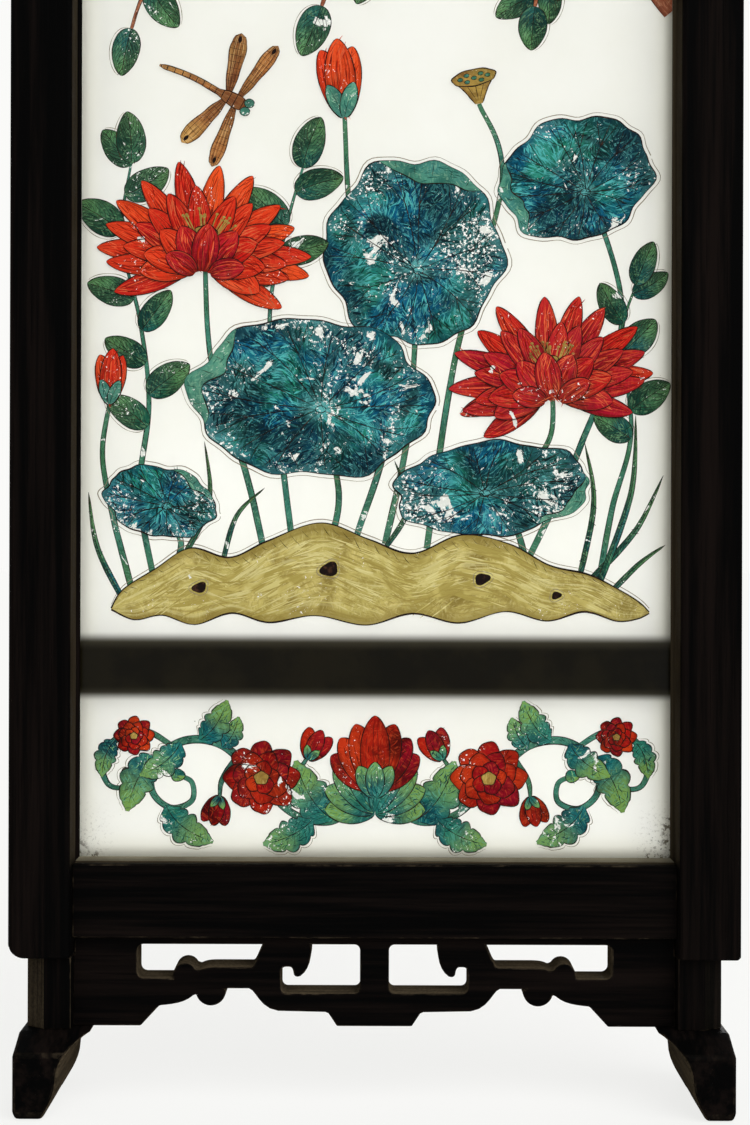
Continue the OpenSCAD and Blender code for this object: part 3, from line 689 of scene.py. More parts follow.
# what grows where, in mm: x from the middle, z above the table; lift is how far in front of the glass
pond = {
    "bankTop": [(-114, 212), (-109, 220), (-95, 229), (-80, 238), (-63, 234), (-47, 241), (-24, 249), (-3, 242),
                (16, 236), (37, 244), (58, 240), (75, 231), (92, 227), (106, 220), (114, 215), (118, 211)],
    "bankFloor": [(-114, 211.4), (-104, 207), (-92, 209), (-78, 205), (-62, 210), (-46, 206), (-26, 209),
                  (-4, 205), (16, 210), (36, 206), (56, 211), (74, 207), (90, 211), (104, 207),
                  (113, 208), (118, 210.4)],
    "leaves": [
        {"centre": (16, 366), "across": 38, "up": 40, "turn": 0.1, "heart": (2, -8), "lift": 0.16,
         "fold": (0.6, 1.9, 9)},
        {"centre": (-28, 303), "across": 52, "up": 34, "turn": -0.06, "heart": (4, -5), "lift": 0.26,
         "fold": (2.2, 3.6, 9)},
        {"centre": (50, 264), "across": 42, "up": 20, "turn": 0.08, "heart": (-3, -2), "lift": 0.36,
         "fold": (5.2, 6.4, 6)},
        {"centre": (86, 398), "across": 33, "up": 26, "turn": 0.3, "heart": (4, -6), "lift": 0.16,
         "fold": (2.5, 3.9, 7)},
        {"centre": (-93, 258), "across": 24, "up": 15, "turn": -0.2, "heart": (3, -2), "lift": 0.36,
         "fold": (0.3, 1.5, 4)},
    ],
    "blossoms": [
        {"centre": (-75, 367), "size": 38, "lean": 0.14, "tones": (0.4, 1.0)},
        {"centre": (76, 312), "size": 37, "lean": -0.2, "tones": (0.0, 0.45)},
    ],
    "buds": [
        {"base": (-14, 424), "long": 34, "lean": -0.12},
        {"base": (-115, 300), "long": 24, "lean": 0.04},
    ],
    "pods": [
        {"base": (44, 430), "size": 10, "lean": -0.2},
    ],
    "stems": [
        [(-48, 236), (-56, 270), (-71, 318), (-74, 362)], [(40, 238), (62, 268), (75, 286), (76, 306)],
        [(-20, 240), (-16, 262), (-24, 298)], [(64, 236), (60, 248), (50, 262)],
        [(66, 234), (88, 282), (106, 338), (92, 392)], [(-88, 228), (-84, 240), (-91, 256)],
        [(4, 240), (14, 290), (18, 358)], [(-8, 244), (6, 300), (-10, 370), (-14, 424)],
        [(-104, 216), (-113, 250), (-118, 278), (-115, 300)], [(22, 238), (34, 320), (54, 396), (44, 430)],
    ],
    "reeds": [
        ((-108, 214), (-120, 238), (-124, 262), 3.0), ((-84, 232), (-72, 258), (-74, 284), 2.8),
        ((-66, 232), (-60, 252), (-48, 264), 2.6), ((4, 238), (14, 256), (8, 276), 2.6),
        ((92, 224), (112, 246), (124, 270), 3.2), ((96, 222), (110, 262), (112, 296), 3.4),
        ((101, 219), (114, 232), (125, 240), 2.8), ((88, 226), (94, 258), (90, 284), 3.0),
    ],
    # leafy water plants: the stem, where its leaves start along it, and how long they are
    "waterPlants": [
        ([(-96, 226), (-102, 262), (-98, 300), (-102, 336), (-110, 372), (-106, 404)], 0.36, 22),
        ([(96, 222), (102, 256), (110, 288), (106, 330), (112, 352)], 0.5, 20),
        ([(-36, 240), (-46, 330), (-40, 372), (-32, 402)], 0.66, 23),
    ],
    "dragonfly": {"head": (-56, 428), "angle": 2.64},
    # the flowering branch above the pond: each limb with its half width at the two ends
    "limbs": [
        ([(127, 470), (108, 492), (88, 500), (62, 520), (36, 524), (8, 540), (-22, 536), (-52, 546), (-84, 540)],
         4.6, 1.0),
        ([(90, 499), (78, 488), (70, 480), (68, 472)], 2.2, 0.8),
        ([(38, 524), (22, 506), (2, 498), (-18, 484), (-24, 472)], 2.4, 0.8),
        ([(62, 520), (66, 540), (58, 558), (64, 574)], 2.4, 0.9),
        ([(-22, 536), (-42, 520), (-64, 514), (-84, 498), (-100, 478), (-106, 462)], 2.0, 0.7),
        ([(8, 540), (4, 556), (-14, 566), (-30, 578)], 2.0, 0.8),
        ([(114, 486), (118, 504), (108, 524), (112, 548)], 2.4, 0.8),
    ],
    # where along a limb its leaves and its small blossoms stand
    "limbLeaves": {0: (0.46, 0.62, 0.74, 0.86, 0.94, 1.0), 1: (0.4, 0.62, 0.84, 1.0), 2: (0.34, 0.6, 0.84, 1.0),
                   3: (0.4, 0.7, 1.0), 4: (0.3, 0.48, 0.66, 0.82, 1.0), 5: (0.4, 0.7, 1.0), 6: (0.3, 0.62, 1.0)},
    "limbBlossoms": [(88, 506, 12), (34, 532, 13), (52, 512, 9), (-18, 526, 11), (-50, 554, 10), (-10, 498, 9.5),
                     (64, 556, 9), (-76, 500, 10), (80, 484, 9), (112, 516, 10), (-4, 562, 9)],
    "limbLeafLong": 23,
}
leaves, folds, stems, petals, bank, reeds, pods, wings, limbs, smallPetals, ink, shadowLines = [
    newFilm() for _ in range(12)]


def petalShape(t):
    return max(t ** 0.72 * (1 - t) ** 0.66 / 0.385, 0.02) + 0.25 * (1 - t) ** 3


def leafletShape(t):
    return max(t ** 0.5 * (1 - t) ** 0.68 / 0.447, 0.02)


def bladeShape(t):
    return 0.75 + 0.5 * t - 1.24 * t ** 2.2


def eased(part):
    # places along a leaf, closer together towards its two ends
    return 0.5 - 0.5 * math.cos(math.pi * part)


def lotusLeaf(centre, across, up, turn, heart, lift, fold):
    waves = [(6, 0.035, chance.uniform(0, 6)), (9, 0.028, chance.uniform(0, 6)), (17, 0.012, chance.uniform(0, 6))]
    rim = ovalRim(centre, across, up, turn, waves, 112)
    total, ribs = len(rim), 14
    middle = (centre[0] + heart[0], centre[1] + heart[1])
    over = lift + 0.05
    disc(leaves, middle, rim, lift, chance.random())
    inkRing(rim, 0.55, over)
    # painted shadow of the leaf's rim on the glass, a pale line just outside it
    inkLine(ovalRim(centre, across + 1.7, up + 1.7, turn, waves, 112), 0.34, 0.1, taper=False, film=shadowLines)
    for k in range(ribs):
        spot = rim[round((k + chance.uniform(-0.18, 0.18)) * total / ribs) % total]
        bend = chance.uniform(-0.07, 0.07)
        out = (spot[0] - middle[0], spot[1] - middle[1])
        path = [(middle[0] + out[0] * t - out[1] * bend * math.sin(math.pi * t),
                 middle[1] + out[1] * t + out[0] * bend * math.sin(math.pi * t))
                for t in [0.05 + 0.08 * i for i in range(12)]]
        inkLine(path, 0.42, over)
        for side in (-1, 1):
            fork = rim[round(k * total / ribs + side * 2.8) % total]
            inkLine(smoothPath(threaded(path[7], fork, (0, 0.45, 0.9)), 1.6), 0.3, over)
    inkLine(ovalRim(middle, 2.3, 1.5, 0, (), 20), 0.4, over, taper=False)
    # the part of the rim that has curled over
    begin, end, deep = fold
    outer = [rim[i % total] for i in range(total * 2) if begin <= 2 * math.pi * i / total <= end]
    inner = []
    for k, (x, z) in enumerate(outer):
        f = math.sin(math.pi * k / (len(outer) - 1)) ** 0.8 * (1 + 0.12 * math.sin(k * 0.7))
        long = math.dist((x, z), middle)
        inner.append((x + (middle[0] - x) * deep * f / long, z + (middle[1] - z) * deep * f / long))
    sheetBetween(folds, outer, inner, lift + 0.07, chance.random())
    inkLine(inner, 0.5, lift + 0.1)
    for k in range(3, len(outer) - 3, 4):
        inkLine(threaded(outer[k], inner[k], (0.1, 0.4, 0.7)), 0.26, lift + 0.1)


def petal(base, angle, length, width, lift, bend=0.0, lines=4, film=None, tones=(0.0, 1.0)):
    # angle is measured from straight up, positive to the right; tones is how dark and how light it may be
    out, side = (math.sin(angle), math.cos(angle)), (math.cos(angle), -math.sin(angle))
    path = []
    for i in range(21):
        t = eased(i / 20)
        sway = bend * length * t * t
        path.append((base[0] + out[0] * length * t + side[0] * sway,
                     base[1] + out[1] * length * t + side[1] * sway))
    half = lambda part: 0.5 * width * petalShape(eased(part))
    left, right = inked(film or petals, path, half, lift, chance.uniform(*tones), 0.42, lift + 0.012)
    for k in range(lines):
        v = (k + 1) / (lines + 1) + chance.uniform(-0.04, 0.04)
        stop = chance.randint(11, 17)
        inkLine(between(left[1:stop], right[1:stop], v), 0.2, lift + 0.012)


def stamen(foot, tip, head, lift, tone):
    # a thread with a round head
    stroke(pods, [foot, along(foot, tip, 0.5), tip], lambda t: 0.32 * head, lift, tone, across=1)
    disc(pods, tip, ovalRim(tip, head, 0.8 * head, 0, (), 10), lift + 0.002, tone, 1)


def blossom(centre, size, lean, tones):
    lift, each = 0.46, 0.022
    count = 0

    def row(angles, length, width, drop, bend, light=1.0):
        nonlocal count
        for angle in angles:
            wobble = chance.uniform(-0.06, 0.06)
            base = (centre[0] + 0.1 * size * math.sin(angle), centre[1] + drop * size)
            petal(base, angle + lean + wobble, size * length * chance.uniform(0.93, 1.05), size * width,
                  lift + each * count, bend * math.copysign(1, angle) if angle else 0,
                  tones=[value * light for value in tones])
            count += 1
    row([-1.6, 1.62, -1.3, 1.33, -1.0, 1.02, -0.68, 0.7, -0.34, 0.36, 0.02], 1.08, 0.27, -0.1, 0.05)
    row([-2.2, 2.22, -1.86, 1.88], 0.94, 0.26, -0.12, -0.16, 0.7)
    row([-1.42, 1.44, -1.06, 1.08, -0.78, 0.8, -0.46, 0.48, -0.16, 0.18], 0.84, 0.26, -0.14, 0.08, 0.6)
    # seed cup and stamens between the rows
    up = lift + each * count
    cup = [(centre[0] + math.sin(lean) * size * t, centre[1] - 0.1 * size + math.cos(lean) * size * t)
           for t in (0.0, 0.08, 0.16, 0.24, 0.3)]
    for k in range(22):
        a = lean + chance.uniform(-1.2, 1.2)
        reach = size * chance.uniform(0.34, 0.48)
        tip = (cup[1][0] + math.sin(a) * reach, cup[1][1] + math.cos(a) * reach)
        stamen(cup[1], tip, 0.72, up + 0.005 * k, 0.3 + 0.5 * chance.random())
    up += 0.12
    stroke(pods, cup, profile((0, 0.05 * size), (1, 0.13 * size)), up, 0.2)
    rim = ovalRim(cup[-1], 0.13 * size, 0.055 * size, -lean, (), 28)
    disc(pods, cup[-1], rim, up + 0.02, 0.9, 2)
    inkRing(rim, 0.4, up + 0.03)
    for k in range(7):
        spot = polar(cup[-1], k * 0.9, 0.085 * size, 0.03 * size)
        disc(ink, spot, ovalRim(spot, 0.45, 0.32, 0, (), 10), up + 0.04, 0.2, 1)
    count += 8
    row([-1.66, 1.68, -1.24, 1.26, -0.78, 0.8], 0.62, 0.3, -0.22, 0.16, 0.75)
    row([-0.42, 0.44, 0.0], 0.54, 0.3, -0.26, 0.1, 0.35)
    row([-0.98, 1.02], 0.4, 0.24, -0.28, 0.2, 0.2)


def bud(base, long, lean, lift=0.46):
    petal(base, lean - 0.17, long * 0.9, long * 0.34, lift, -0.06, 3)
    petal(base, lean + 0.17, long * 0.9, long * 0.34, lift + 0.03, 0.06, 3)
    petal(base, lean, long, long * 0.38, lift + 0.06, 0.02, 4)
    for side in (-1, 1):
        petal(base, lean + side * 0.34, long * 0.46, long * 0.2, lift + 0.105 + 0.015 * side,
              side * 0.04, 1, folds)


def seedPod(base, size, lean, lift=0.4):
    up = (math.sin(lean), math.cos(lean))
    path = [(base[0] + up[0] * size * t, base[1] + up[1] * size * t) for t in (0, 0.3, 0.6, 0.9, 1.15)]
    top = path[-1]
    half = profile((0, 0.16 * size), (0.5, 0.5 * size), (1, 0.95 * size))
    stroke(pods, path, half, lift, 0.1, across=5)
    for edge in sides(path, half):
        inkLine(smoothPath(edge, 1.5), 0.5, lift + 0.03)
    for k in (-0.5, 0, 0.5):
        end = (top[0] + up[1] * k * size, top[1] - up[0] * k * size)
        inkLine(threaded(base, end, (0.15, 0.4, 0.7, 0.95)), 0.28, lift + 0.03)
    rim = ovalRim(top, 0.97 * size, 0.36 * size, -lean, ((7, 0.03, 0),), 40)
    disc(pods, top, rim, lift + 0.04, 0.9, 3)
    inkRing(rim, 0.5, lift + 0.06)
    for x, z in ((-0.6, 0), (-0.3, 0.13), (0, -0.02), (0.32, 0.12), (0.6, 0), (-0.32, -0.15), (0.3, -0.16)):
        spot = (top[0] + size * (x * up[1] + z * up[0]), top[1] + size * (z * up[1] - x * up[0]))
        disc(stems, spot, ovalRim(spot, 1.15, 0.75, -lean, (), 14), lift + 0.06, 0.5, 1)
        inkLine(ovalRim(spot, 1.2, 0.8, -lean, (), 14), 0.3, lift + 0.08, taper=False)


def leaflet(x, z, angle, long, lift):
    # a small leaf with a midrib and slanted hatching; angle is from the x axis
    path = bentPath(x, z, angle, long, chance.uniform(-0.2, 0.2), [eased(i / 24) for i in range(25)])
    wide = chance.uniform(0.26, 0.33)
    half = lambda part: wide * long * leafletShape(eased(part))
    over = lift + 0.012
    edges = inked(reeds, path, half, lift, chance.random(), 0.36, over)
    # painted shadow of one edge, a pale line just outside it
    inkLine(sides(path, lambda t: half(t) + 1.2)[chance.randint(0, 1)], 0.26, 0.1, film=shadowLines)
    inkLine(path[:23], 0.34, over)
    for k in range(4, 19, 2):
        for edge in edges:
            vein = [along(path[min(k + n, 24)], edge[min(k + n, 24)], reach)
                    for n, reach in ((0, 0.0), (1, 0.26), (3, 0.52), (5, 0.74), (7, 0.88))]
            inkLine(smoothPath(vein, 1.2), 0.19, over)


def waterPlant(points, start, long):
    path = smoothPath(points, 2)
    total = len(path) - 1
    lift = 0.12 + 0.01 * chance.random()
    inked(stems, path, profile((0, 1.3), (1, 0.5)), lift, chance.random(), 0.3, lift + 0.01, across=3)
    k, side = round(start * total), 1
    while k < total:
        way = heading(path[k - 1], path[min(k + 1, total)])
        leaflet(*path[k], way + side * chance.uniform(0.75, 1.05), long * chance.uniform(0.85, 1.05),
                0.2 + 0.02 * (k % 4))
        k, side = k + max(3, round(0.3 * long)), -side
    leaflet(*path[-1], way + 0.1, long, 0.3)


def smallBlossom(x, z, size, lift=0.5):
    # five round petals, stamens and an eye
    turn = chance.uniform(0, 6)
    for k in range(5):
        a = turn + 2 * math.pi * k / 5
        up = lift + 0.022 * k
        rim = ovalRim(polar((x, z), a, 0.5 * size), 0.53 * size, 0.46 * size, a, ((2, 0.05, k), (7, 0.035, k)), 28)
        disc(smallPetals, (x, z), rim, up, chance.random(), 4)
        inkRing(rim, 0.4, up + 0.011)
        for side in (-0.24, 0, 0.24):
            inkLine(threaded((x, z), polar((x, z), a + side, 0.84 * size), (0.4, 0.6, 0.85)), 0.2, up + 0.011)
    for k in range(9):
        stamen((x, z), polar((x, z), turn + 0.7 * k, 0.4 * size), 0.5, lift + 0.13 + 0.005 * k, 0.6)
    disc(pods, (x, z), ovalRim((x, z), 0.13 * size, 0.13 * size, 0, (), 16), lift + 0.19, 0.4, 2)


def floweringBranch():
    for n, (points, thick, thin) in enumerate(pond["limbs"]):
        path = smoothPath(points, 2)
        total = len(path) - 1
        wander = chance.uniform(0, 6)
        half = lambda t: (thick + (thin - thick) * t ** 0.8) * (1 + 0.14 * math.sin(19 * t + wander)
                                                               + 0.08 * math.sin(47 * t))
        lift = 0.24 + 0.02 * (len(pond["limbs"]) - n)
        left, right = inked(limbs, path, half, lift, chance.random(), 0.5, lift + 0.01)
        for k in range(4, total - 4, 5):
            inkLine(between(left[k:k + 4], right[k:k + 4], chance.uniform(0.2, 0.7)), 0.3, lift + 0.01)
        for k, place in enumerate(pond["limbLeaves"][n]):
            at = round(place * total)
            way = heading(path[max(at - 2, 0)], path[min(at + 2, total)])
            turn = 0 if place == 1 else (1 if k % 2 else -1) * chance.uniform(0.7, 1.15)
            leaflet(*path[at], way + turn, pond["limbLeafLong"] * chance.uniform(0.8, 1.1), 0.14 + 0.02 * (k % 4))
    for spot in pond["limbBlossoms"]:
        smallBlossom(*spot)


def dragonfly(head, angle, lift=0.5):
    # angle is the way its tail points
    tail = (math.cos(angle), math.sin(angle))
    on = lambda t: (head[0] + tail[0] * t, head[1] + tail[1] * t)
    for n, (place, lean, long, wide) in enumerate(((5.5, 1.72, 30, 6.2), (9.5, 1.28, 28, 7.4),
                                                   (5.5, -1.72, 30, 6.2), (9.5, -1.28, 28, 7.4))):
        out, root = (math.cos(angle + lean), math.sin(angle + lean)), on(place)
        path = [(root[0] + long * t * out[0], root[1] + long * t * out[1]) for t in [i / 20 for i in range(21)]]
        half = profile((0, 0.14 * wide), (0.35, 0.36 * wide), (0.75, 0.5 * wide), (0.93, 0.38 * wide), (1, 0.05))
        over = lift + 0.03 * n
        left, right = inked(wings, path, half, over, chance.random(), 0.34, over + 0.012)
        for v in (0.25, 0.5, 0.75):
            inkLine(between(left[:20], right[:20], v), 0.2, over + 0.012)
        for k in range(3, 20, 2):
            inkLine(threaded(left[k], right[k], (0, 0.5, 1)), 0.16, over + 0.012, taper=False)
        disc(ink, path[18], ovalRim(path[18], 1.4, 0.8, angle + lean, (), 12), over + 0.014, 0.1, 1)
    body = smoothPath([on(0), on(6), on(14), on(28), (on(42)[0] - 1, on(42)[1] - 2)], 1.5)
    thick = profile((0, 1.8), (0.12, 3.1), (0.24, 2.7), (0.34, 1.3), (0.9, 1.1), (1, 0.4))
    stroke(wings, body, thick, lift + 0.13, 0.1, across=4)
    left, right = sides(body, thick)
    for k in range(2, len(body) - 1, 2):
        inkLine(threaded(left[k], right[k], (0, 0.5, 1)), 0.4, lift + 0.145, taper=False)
    for edge in (left, right):
        inkLine(edge, 0.4, lift + 0.145)
    for side in (-1, 1):
        eye = (head[0] - tail[1] * side * 2.0, head[1] + tail[0] * side * 2.0)
        rim = ovalRim(eye, 2.2, 1.9, 0, (), 18)
        disc(stems, eye, rim, lift + 0.16 + 0.02 * side, 0.5, 1)
        inkLine(rim, 0.34, lift + 0.172 + 0.02 * side, taper=False)


def wateredBank():
    count = 170
    top, floor = ([line[round(i * (len(line) - 1) / count)] for i in range(count + 1)]
                  for line in (smoothPath(pond["bankTop"], 1.2), smoothPath(pond["bankFloor"], 1.2)))
    sheetBetween(bank, top, floor, 0.3, 0.5, across=8)
    inkLine(top, 0.7, 0.34, taper=False)
    inkLine(floor, 0.7, 0.34, taper=False)
    # painted shadow of the bank's top, a pale line just above it
    inkLine([(x, z + 1.6) for x, z in top], 0.34, 0.1, taper=False, film=shadowLines)
    # short strokes that shade the bank's upper edge
    for k in range(3, count - 3, 3):
        deep = chance.uniform(0.08, 0.2)
        start, ahead = along(top[k], floor[k], 0.04), (top[k + 2], floor[k + 2])
        inkLine([start, along(start, along(*ahead, deep + 0.02), 0.5), along(*ahead, deep)], 0.24, 0.34)
    # small hollows in it
    for x, z, wide, high in ((-76, 221, 3.2, 2.2), (-20, 229, 4.0, 3.0), (46, 225, 3.4, 2.4), (78, 218, 2.2, 1.6)):
        waves = ((3, 0.12, x),)
        disc(ink, (x, z), ovalRim((x, z), wide, high, 0.3, waves, 26), 0.34, 0.2, 2)
        # painted shadow round the hollow
        inkLine(ovalRim((x, z), wide + 1, high + 1, 0.3, waves, 26), 0.3, 0.35, taper=False, film=shadowLines)


for facts in pond["leaves"]:
    lotusLeaf(**facts)
for facts in pond["pods"]:
    seedPod(**facts)
for k, points in enumerate(pond["stems"]):
    inked(stems, smoothPath(points, 2), profile((0, 1.35), (1, 0.95)), 0.06 + 0.003 * k, chance.random(),
          0.34, 0.062 + 0.003 * k, across=3)
for k, (foot, middle, tip, wide) in enumerate(pond["reeds"]):
    path = smoothPath([foot, middle, tip], 2)
    half = lambda t: 0.5 * wide * bladeShape(t)
    stroke(reeds, path, half, 0.12 + 0.02 * (k % 3), chance.random())
    inkLine(path, 0.26, 0.135 + 0.02 * (k % 3))
    for edge in sides(path, half):
        inkLine(edge, 0.3, 0.135 + 0.02 * (k % 3))
for facts in pond["waterPlants"]:
    waterPlant(*facts)
wateredBank()
pondInk, ink = ink, newFilm()    # blossoms, branch and garland have ink pieces of their own
for facts in pond["blossoms"]:
    blossom(**facts)
for facts in pond["buds"]:
    bud(**facts)
dragonfly(**pond["dragonfly"])
blossomInk, ink = ink, newFilm()
floweringBranch()
branchInk, ink = ink, newFilm()
print("pond and branch drawn")


# the garland under the cross rail; the left half, which is drawn again on the right
garland = {
    "vine": [(-7, 127), (-20, 120), (-36, 124), (-52, 140), (-66, 153), (-82, 155), (-95, 146), (-96, 133),
             (-88, 126), (-79, 129), (-79, 137), (-85, 140)],
    "tendril": [(-88, 153), (-99, 159), (-111, 156), (-118, 146), (-115, 136), (-108, 135), (-107, 141)],
    "budStems": [[(-37, 126), (-35, 138), (-29, 148)], [(-60, 148), (-66, 138), (-67, 130)]],
    "rosettes": [(-49, 139, 16), (-104, 157, 8.5)],
    "buds": [(-29, 147, 0.45, 14), (-67, 131, 3.35, 13)],
    # x, z, direction, length and how it curls
    "leaves": [(-18, 121, 2.6, 27, -0.5), (-27, 121, -2.3, 22, -0.4), (-66, 152, 0.7, 14, 0.4),
               (-76, 155, 0.5, 19, 0.5), (-94, 148, 3.75, 24, 0.5), (-90, 127, -1.2, 22, 0.6),
               (-112, 155, 3.9, 15, 0.5), (-84, 154, -2.0, 20, -0.5)],
}
garlandLeaves, garlandPetals, garlandVines = newFilm(), newFilm(), newFilm()


def acanthus(x, z, angle, long, curl, lift):
    # a curling leaf with lobes along both edges
    path = bentPath(x, z, angle, long, curl, [i / 36 for i in range(37)])
    shape = profile((0, 0.18), (0.22, 0.86), (0.55, 1.0), (0.85, 0.62), (1, 0.1))
    half = lambda t: 0.31 * long * shape(t) * (0.8 + 0.26 * abs(math.sin(4.5 * math.pi * t)) ** 0.7)
    edges = inked(garlandLeaves, path, half, lift, chance.random(), 0.42, lift + 0.01)
    # painted shadow of one edge, a pale line just outside it
    inkLine(sides(path, lambda t: half(t) + 1.3)[chance.randint(0, 1)], 0.28, 0.1, film=shadowLines)
    inkLine(path[:33], 0.36, lift + 0.01)
    for k in range(4, 32, 4):
        for edge in edges:
            inkLine(threaded(path[k], edge[min(k + 4, 36)], (0, 0.45, 0.85)), 0.2, lift + 0.01)


def rosette(x, z, size, lift=0.4):
    count = 0
    for around, reach, wide, shift in ((8, 1.0, 0.8, 0.0), (7, 0.74, 0.7, 0.3), (5, 0.46, 0.52, 0.1)):
        for k in range(around):
            a = shift + 2 * math.pi * k / around
            up = lift + 0.02 * count
            tip = polar((x, z), a, 0.54 * size * reach, 0.48 * size * reach)
            rim = ovalRim(tip, 0.5 * size * reach, 0.44 * size * wide, a, ((2, 0.05, k), (5, 0.04, k * 2)), 34)
            disc(garlandPetals, (x, z), rim, up, chance.random(), 4)
            inkRing(rim, 0.42, up + 0.01)
            for side in (-0.2, 0, 0.2):
                end = polar((x, z), a + side, 0.85 * size * reach, 0.78 * size * reach)
                inkLine(threaded((x, z), end, (0.35, 0.6, 0.85)), 0.24, up + 0.01)
            count += 1
    up = lift + 0.02 * count
    rim = ovalRim((x, z), 0.2 * size, 0.18 * size, 0, ((5, 0.08, 0),), 20)
    disc(pods, (x, z), rim, up, 0.6, 2)
    inkRing(rim, 0.4, up + 0.01)


def halfGarland(side):
    # side is 1 for the left half as it is written, -1 for the right
    lift = 0.14 if side > 0 else 0.15
    thinner = [(stem, 1.1) for stem in garland["budStems"]]
    for points, thick in [(garland["vine"], 1.7), (garland["tendril"], 1.4)] + thinner:
        path = smoothPath([(x * side, z) for x, z in points], 1.2)
        half = profile((0, 0.8 * thick), (0.5, thick), (1, 0.6 * thick))
        inked(garlandVines, path, half, lift, chance.random(), 0.4, lift + 0.008, across=3)
        if thick > 1.2:
            knob = ovalRim(path[-1], 1.75 * thick, 1.6 * thick, 0, ((3, 0.06, thick),), 26)
            disc(garlandLeaves, path[-1], knob, lift + 0.006, 0.9, 3)
            inkRing(knob, 0.4, lift + 0.014)
        lift += 0.016
    for k, (x, z, angle, long, curl) in enumerate(garland["leaves"]):
        acanthus(x * side, z, angle if side > 0 else math.pi - angle, long, curl * side, 0.23 + 0.016 * k)
    for x, z, size in garland["rosettes"]:
        rosette(x * side, z, size)
    for x, z, lean, long in garland["buds"]:
        for k, turn in enumerate((-0.4, 0.4, 0)):
            petal((x * side, z), (lean + turn) * side, long, long * 0.5, 0.4 + 0.03 * k, 0, 2, garlandPetals)
        for k, turn in enumerate((-0.5, 0.5)):
            petal((x * side, z), (lean + turn) * side, long * 0.45, long * 0.24, 0.5 + 0.03 * k,
                  0, 1, garlandLeaves)


halfGarland(1)
halfGarland(-1)
for k, angle in enumerate((-1.5, 1.5, -1.1, 1.1, -0.72, 0.72, -0.36, 0.36)):
    petal((0, 125), angle, 29 - 5 * abs(angle), 12, 0.4 + 0.02 * k,
          0.06 * math.copysign(1, angle), 3, garlandLeaves)
for k, turn in enumerate((-0.95, 0.95, -0.62, 0.62, -0.3, 0.3, 0)):
    petal((0, 135), turn, 31 - 8 * abs(turn), 12.5, 0.58 + 0.03 * k, 0, 4, garlandPetals)
for k, turn in enumerate((-0.5, 0.5, 0)):
    petal((0, 131), turn, 15, 8, 0.8 + 0.03 * k, 0, 2, garlandLeaves)
print("garland drawn")

for name, film, material in (
        ("painted_stems", stems, stemPaint), ("painted_leaves", leaves, leafPaint),
        ("painted_leaf_folds", folds, foldPaint), ("painted_reeds", reeds, reedPaint),
        ("painted_bank", bank, bankPaint), ("painted_petals", petals, petalPaint),
        ("painted_pods", pods, podPaint), ("painted_dragonfly", wings, wingPaint),
        ("painted_limbs", limbs, limbPaint), ("painted_small_petals", smallPetals, smallPetalPaint),
        ("garland_leaves", garlandLeaves, leafSprayPaint), ("garland_petals", garlandPetals, rosettePaint),
        ("garland_vines", garlandVines, stemPaint), ("painted_pond_ink", pondInk, inkPaint),
        ("painted_blossom_ink", blossomInk, inkPaint), ("painted_branch_ink", branchInk, inkPaint),
        ("garland_ink", ink, inkPaint), ("painted_shadow_lines", shadowLines, shadowLinePaint)):
    filmPiece(name, filmMesh(name, film, material))


# brush dabs, laid over the films by a node tree that is built once and used with other sizes
dabSizes = ("Dabs per square metre", "Dab length", "Dab width", "Bend", "Scatter", "Swirl", "Clear of the rim",
            "Lift", "Seed")
# the film, the paint, and then the tree's sizes in that order, lengths in metres
brushDabs = {
    "over_leaves": (leaves, "leafDabPaint", 190000.0, 0.0036, 0.0007, 0.16, 0.4, 7.0, 0.3, 0.00002, 5),
    "fine_over_leaves": (leaves, "leafDabPaint", 280000.0, 0.005, 0.00032, 0.1, 0.3, 7.0, 0.35, 0.000012, 33),
    "over_bank": (bank, "bankDabPaint", 110000.0, 0.011, 0.0005, 0.05, 0.06, 0.9, 0.24, 0.00002, 9),
    "over_petals": (petals, "petalDabPaint", 170000.0, 0.006, 0.0004, 0.06, 0.08, 0.0, 0.35, 0.000003, 41),
    "over_reeds": (reeds, "reedDabPaint", 260000.0, 0.0023, 0.0003, 0.15, 0.6, 3.0, 0.25, 0.000003, 27),
    "over_garland": (garlandLeaves, "sprayDabPaint", 320000.0, 0.0022, 0.00035, 0.2, 0.5, 3.0, 0.25, 0.000003, 14),
    "broad_over_bank": (bank, "bankWashPaint", 14000.0, 0.024, 0.0024, 0.05, 0.05, 0.5, 0.3, 0.000008, 51),
    "over_stems": (stems, "reedDabPaint", 260000.0, 0.002, 0.00025, 0.1, 0.3, 1.0, 0.25, 1.5e-6, 61),
    "over_vines": (garlandVines, "reedDabPaint", 300000.0, 0.0018, 0.00025, 0.1, 0.3, 1.0, 0.25, 1.5e-6, 62),
    "over_rosettes": (garlandPetals, "rosetteDabPaint", 160000.0, 0.0026, 0.0003, 0.1, 0.15, 0.0, 0.4, 1.5e-6, 71),
    "over_small_petals": (smallPetals, "petalDabPaint", 160000.0, 0.0026, 0.0003, 0.1, 0.15, 0.0, 0.4, 1.5e-6, 72),
    "over_folds": (folds, "foldDabPaint", 260000.0, 0.0026, 0.00035, 0.15, 0.4, 2.0, 0.28, 0.000003, 81),
    "over_limbs": (limbs, "limbDabPaint", 220000.0, 0.0036, 0.0006, 0.15, 0.3, 2.0, 0.2, 0.000003, 21),
}
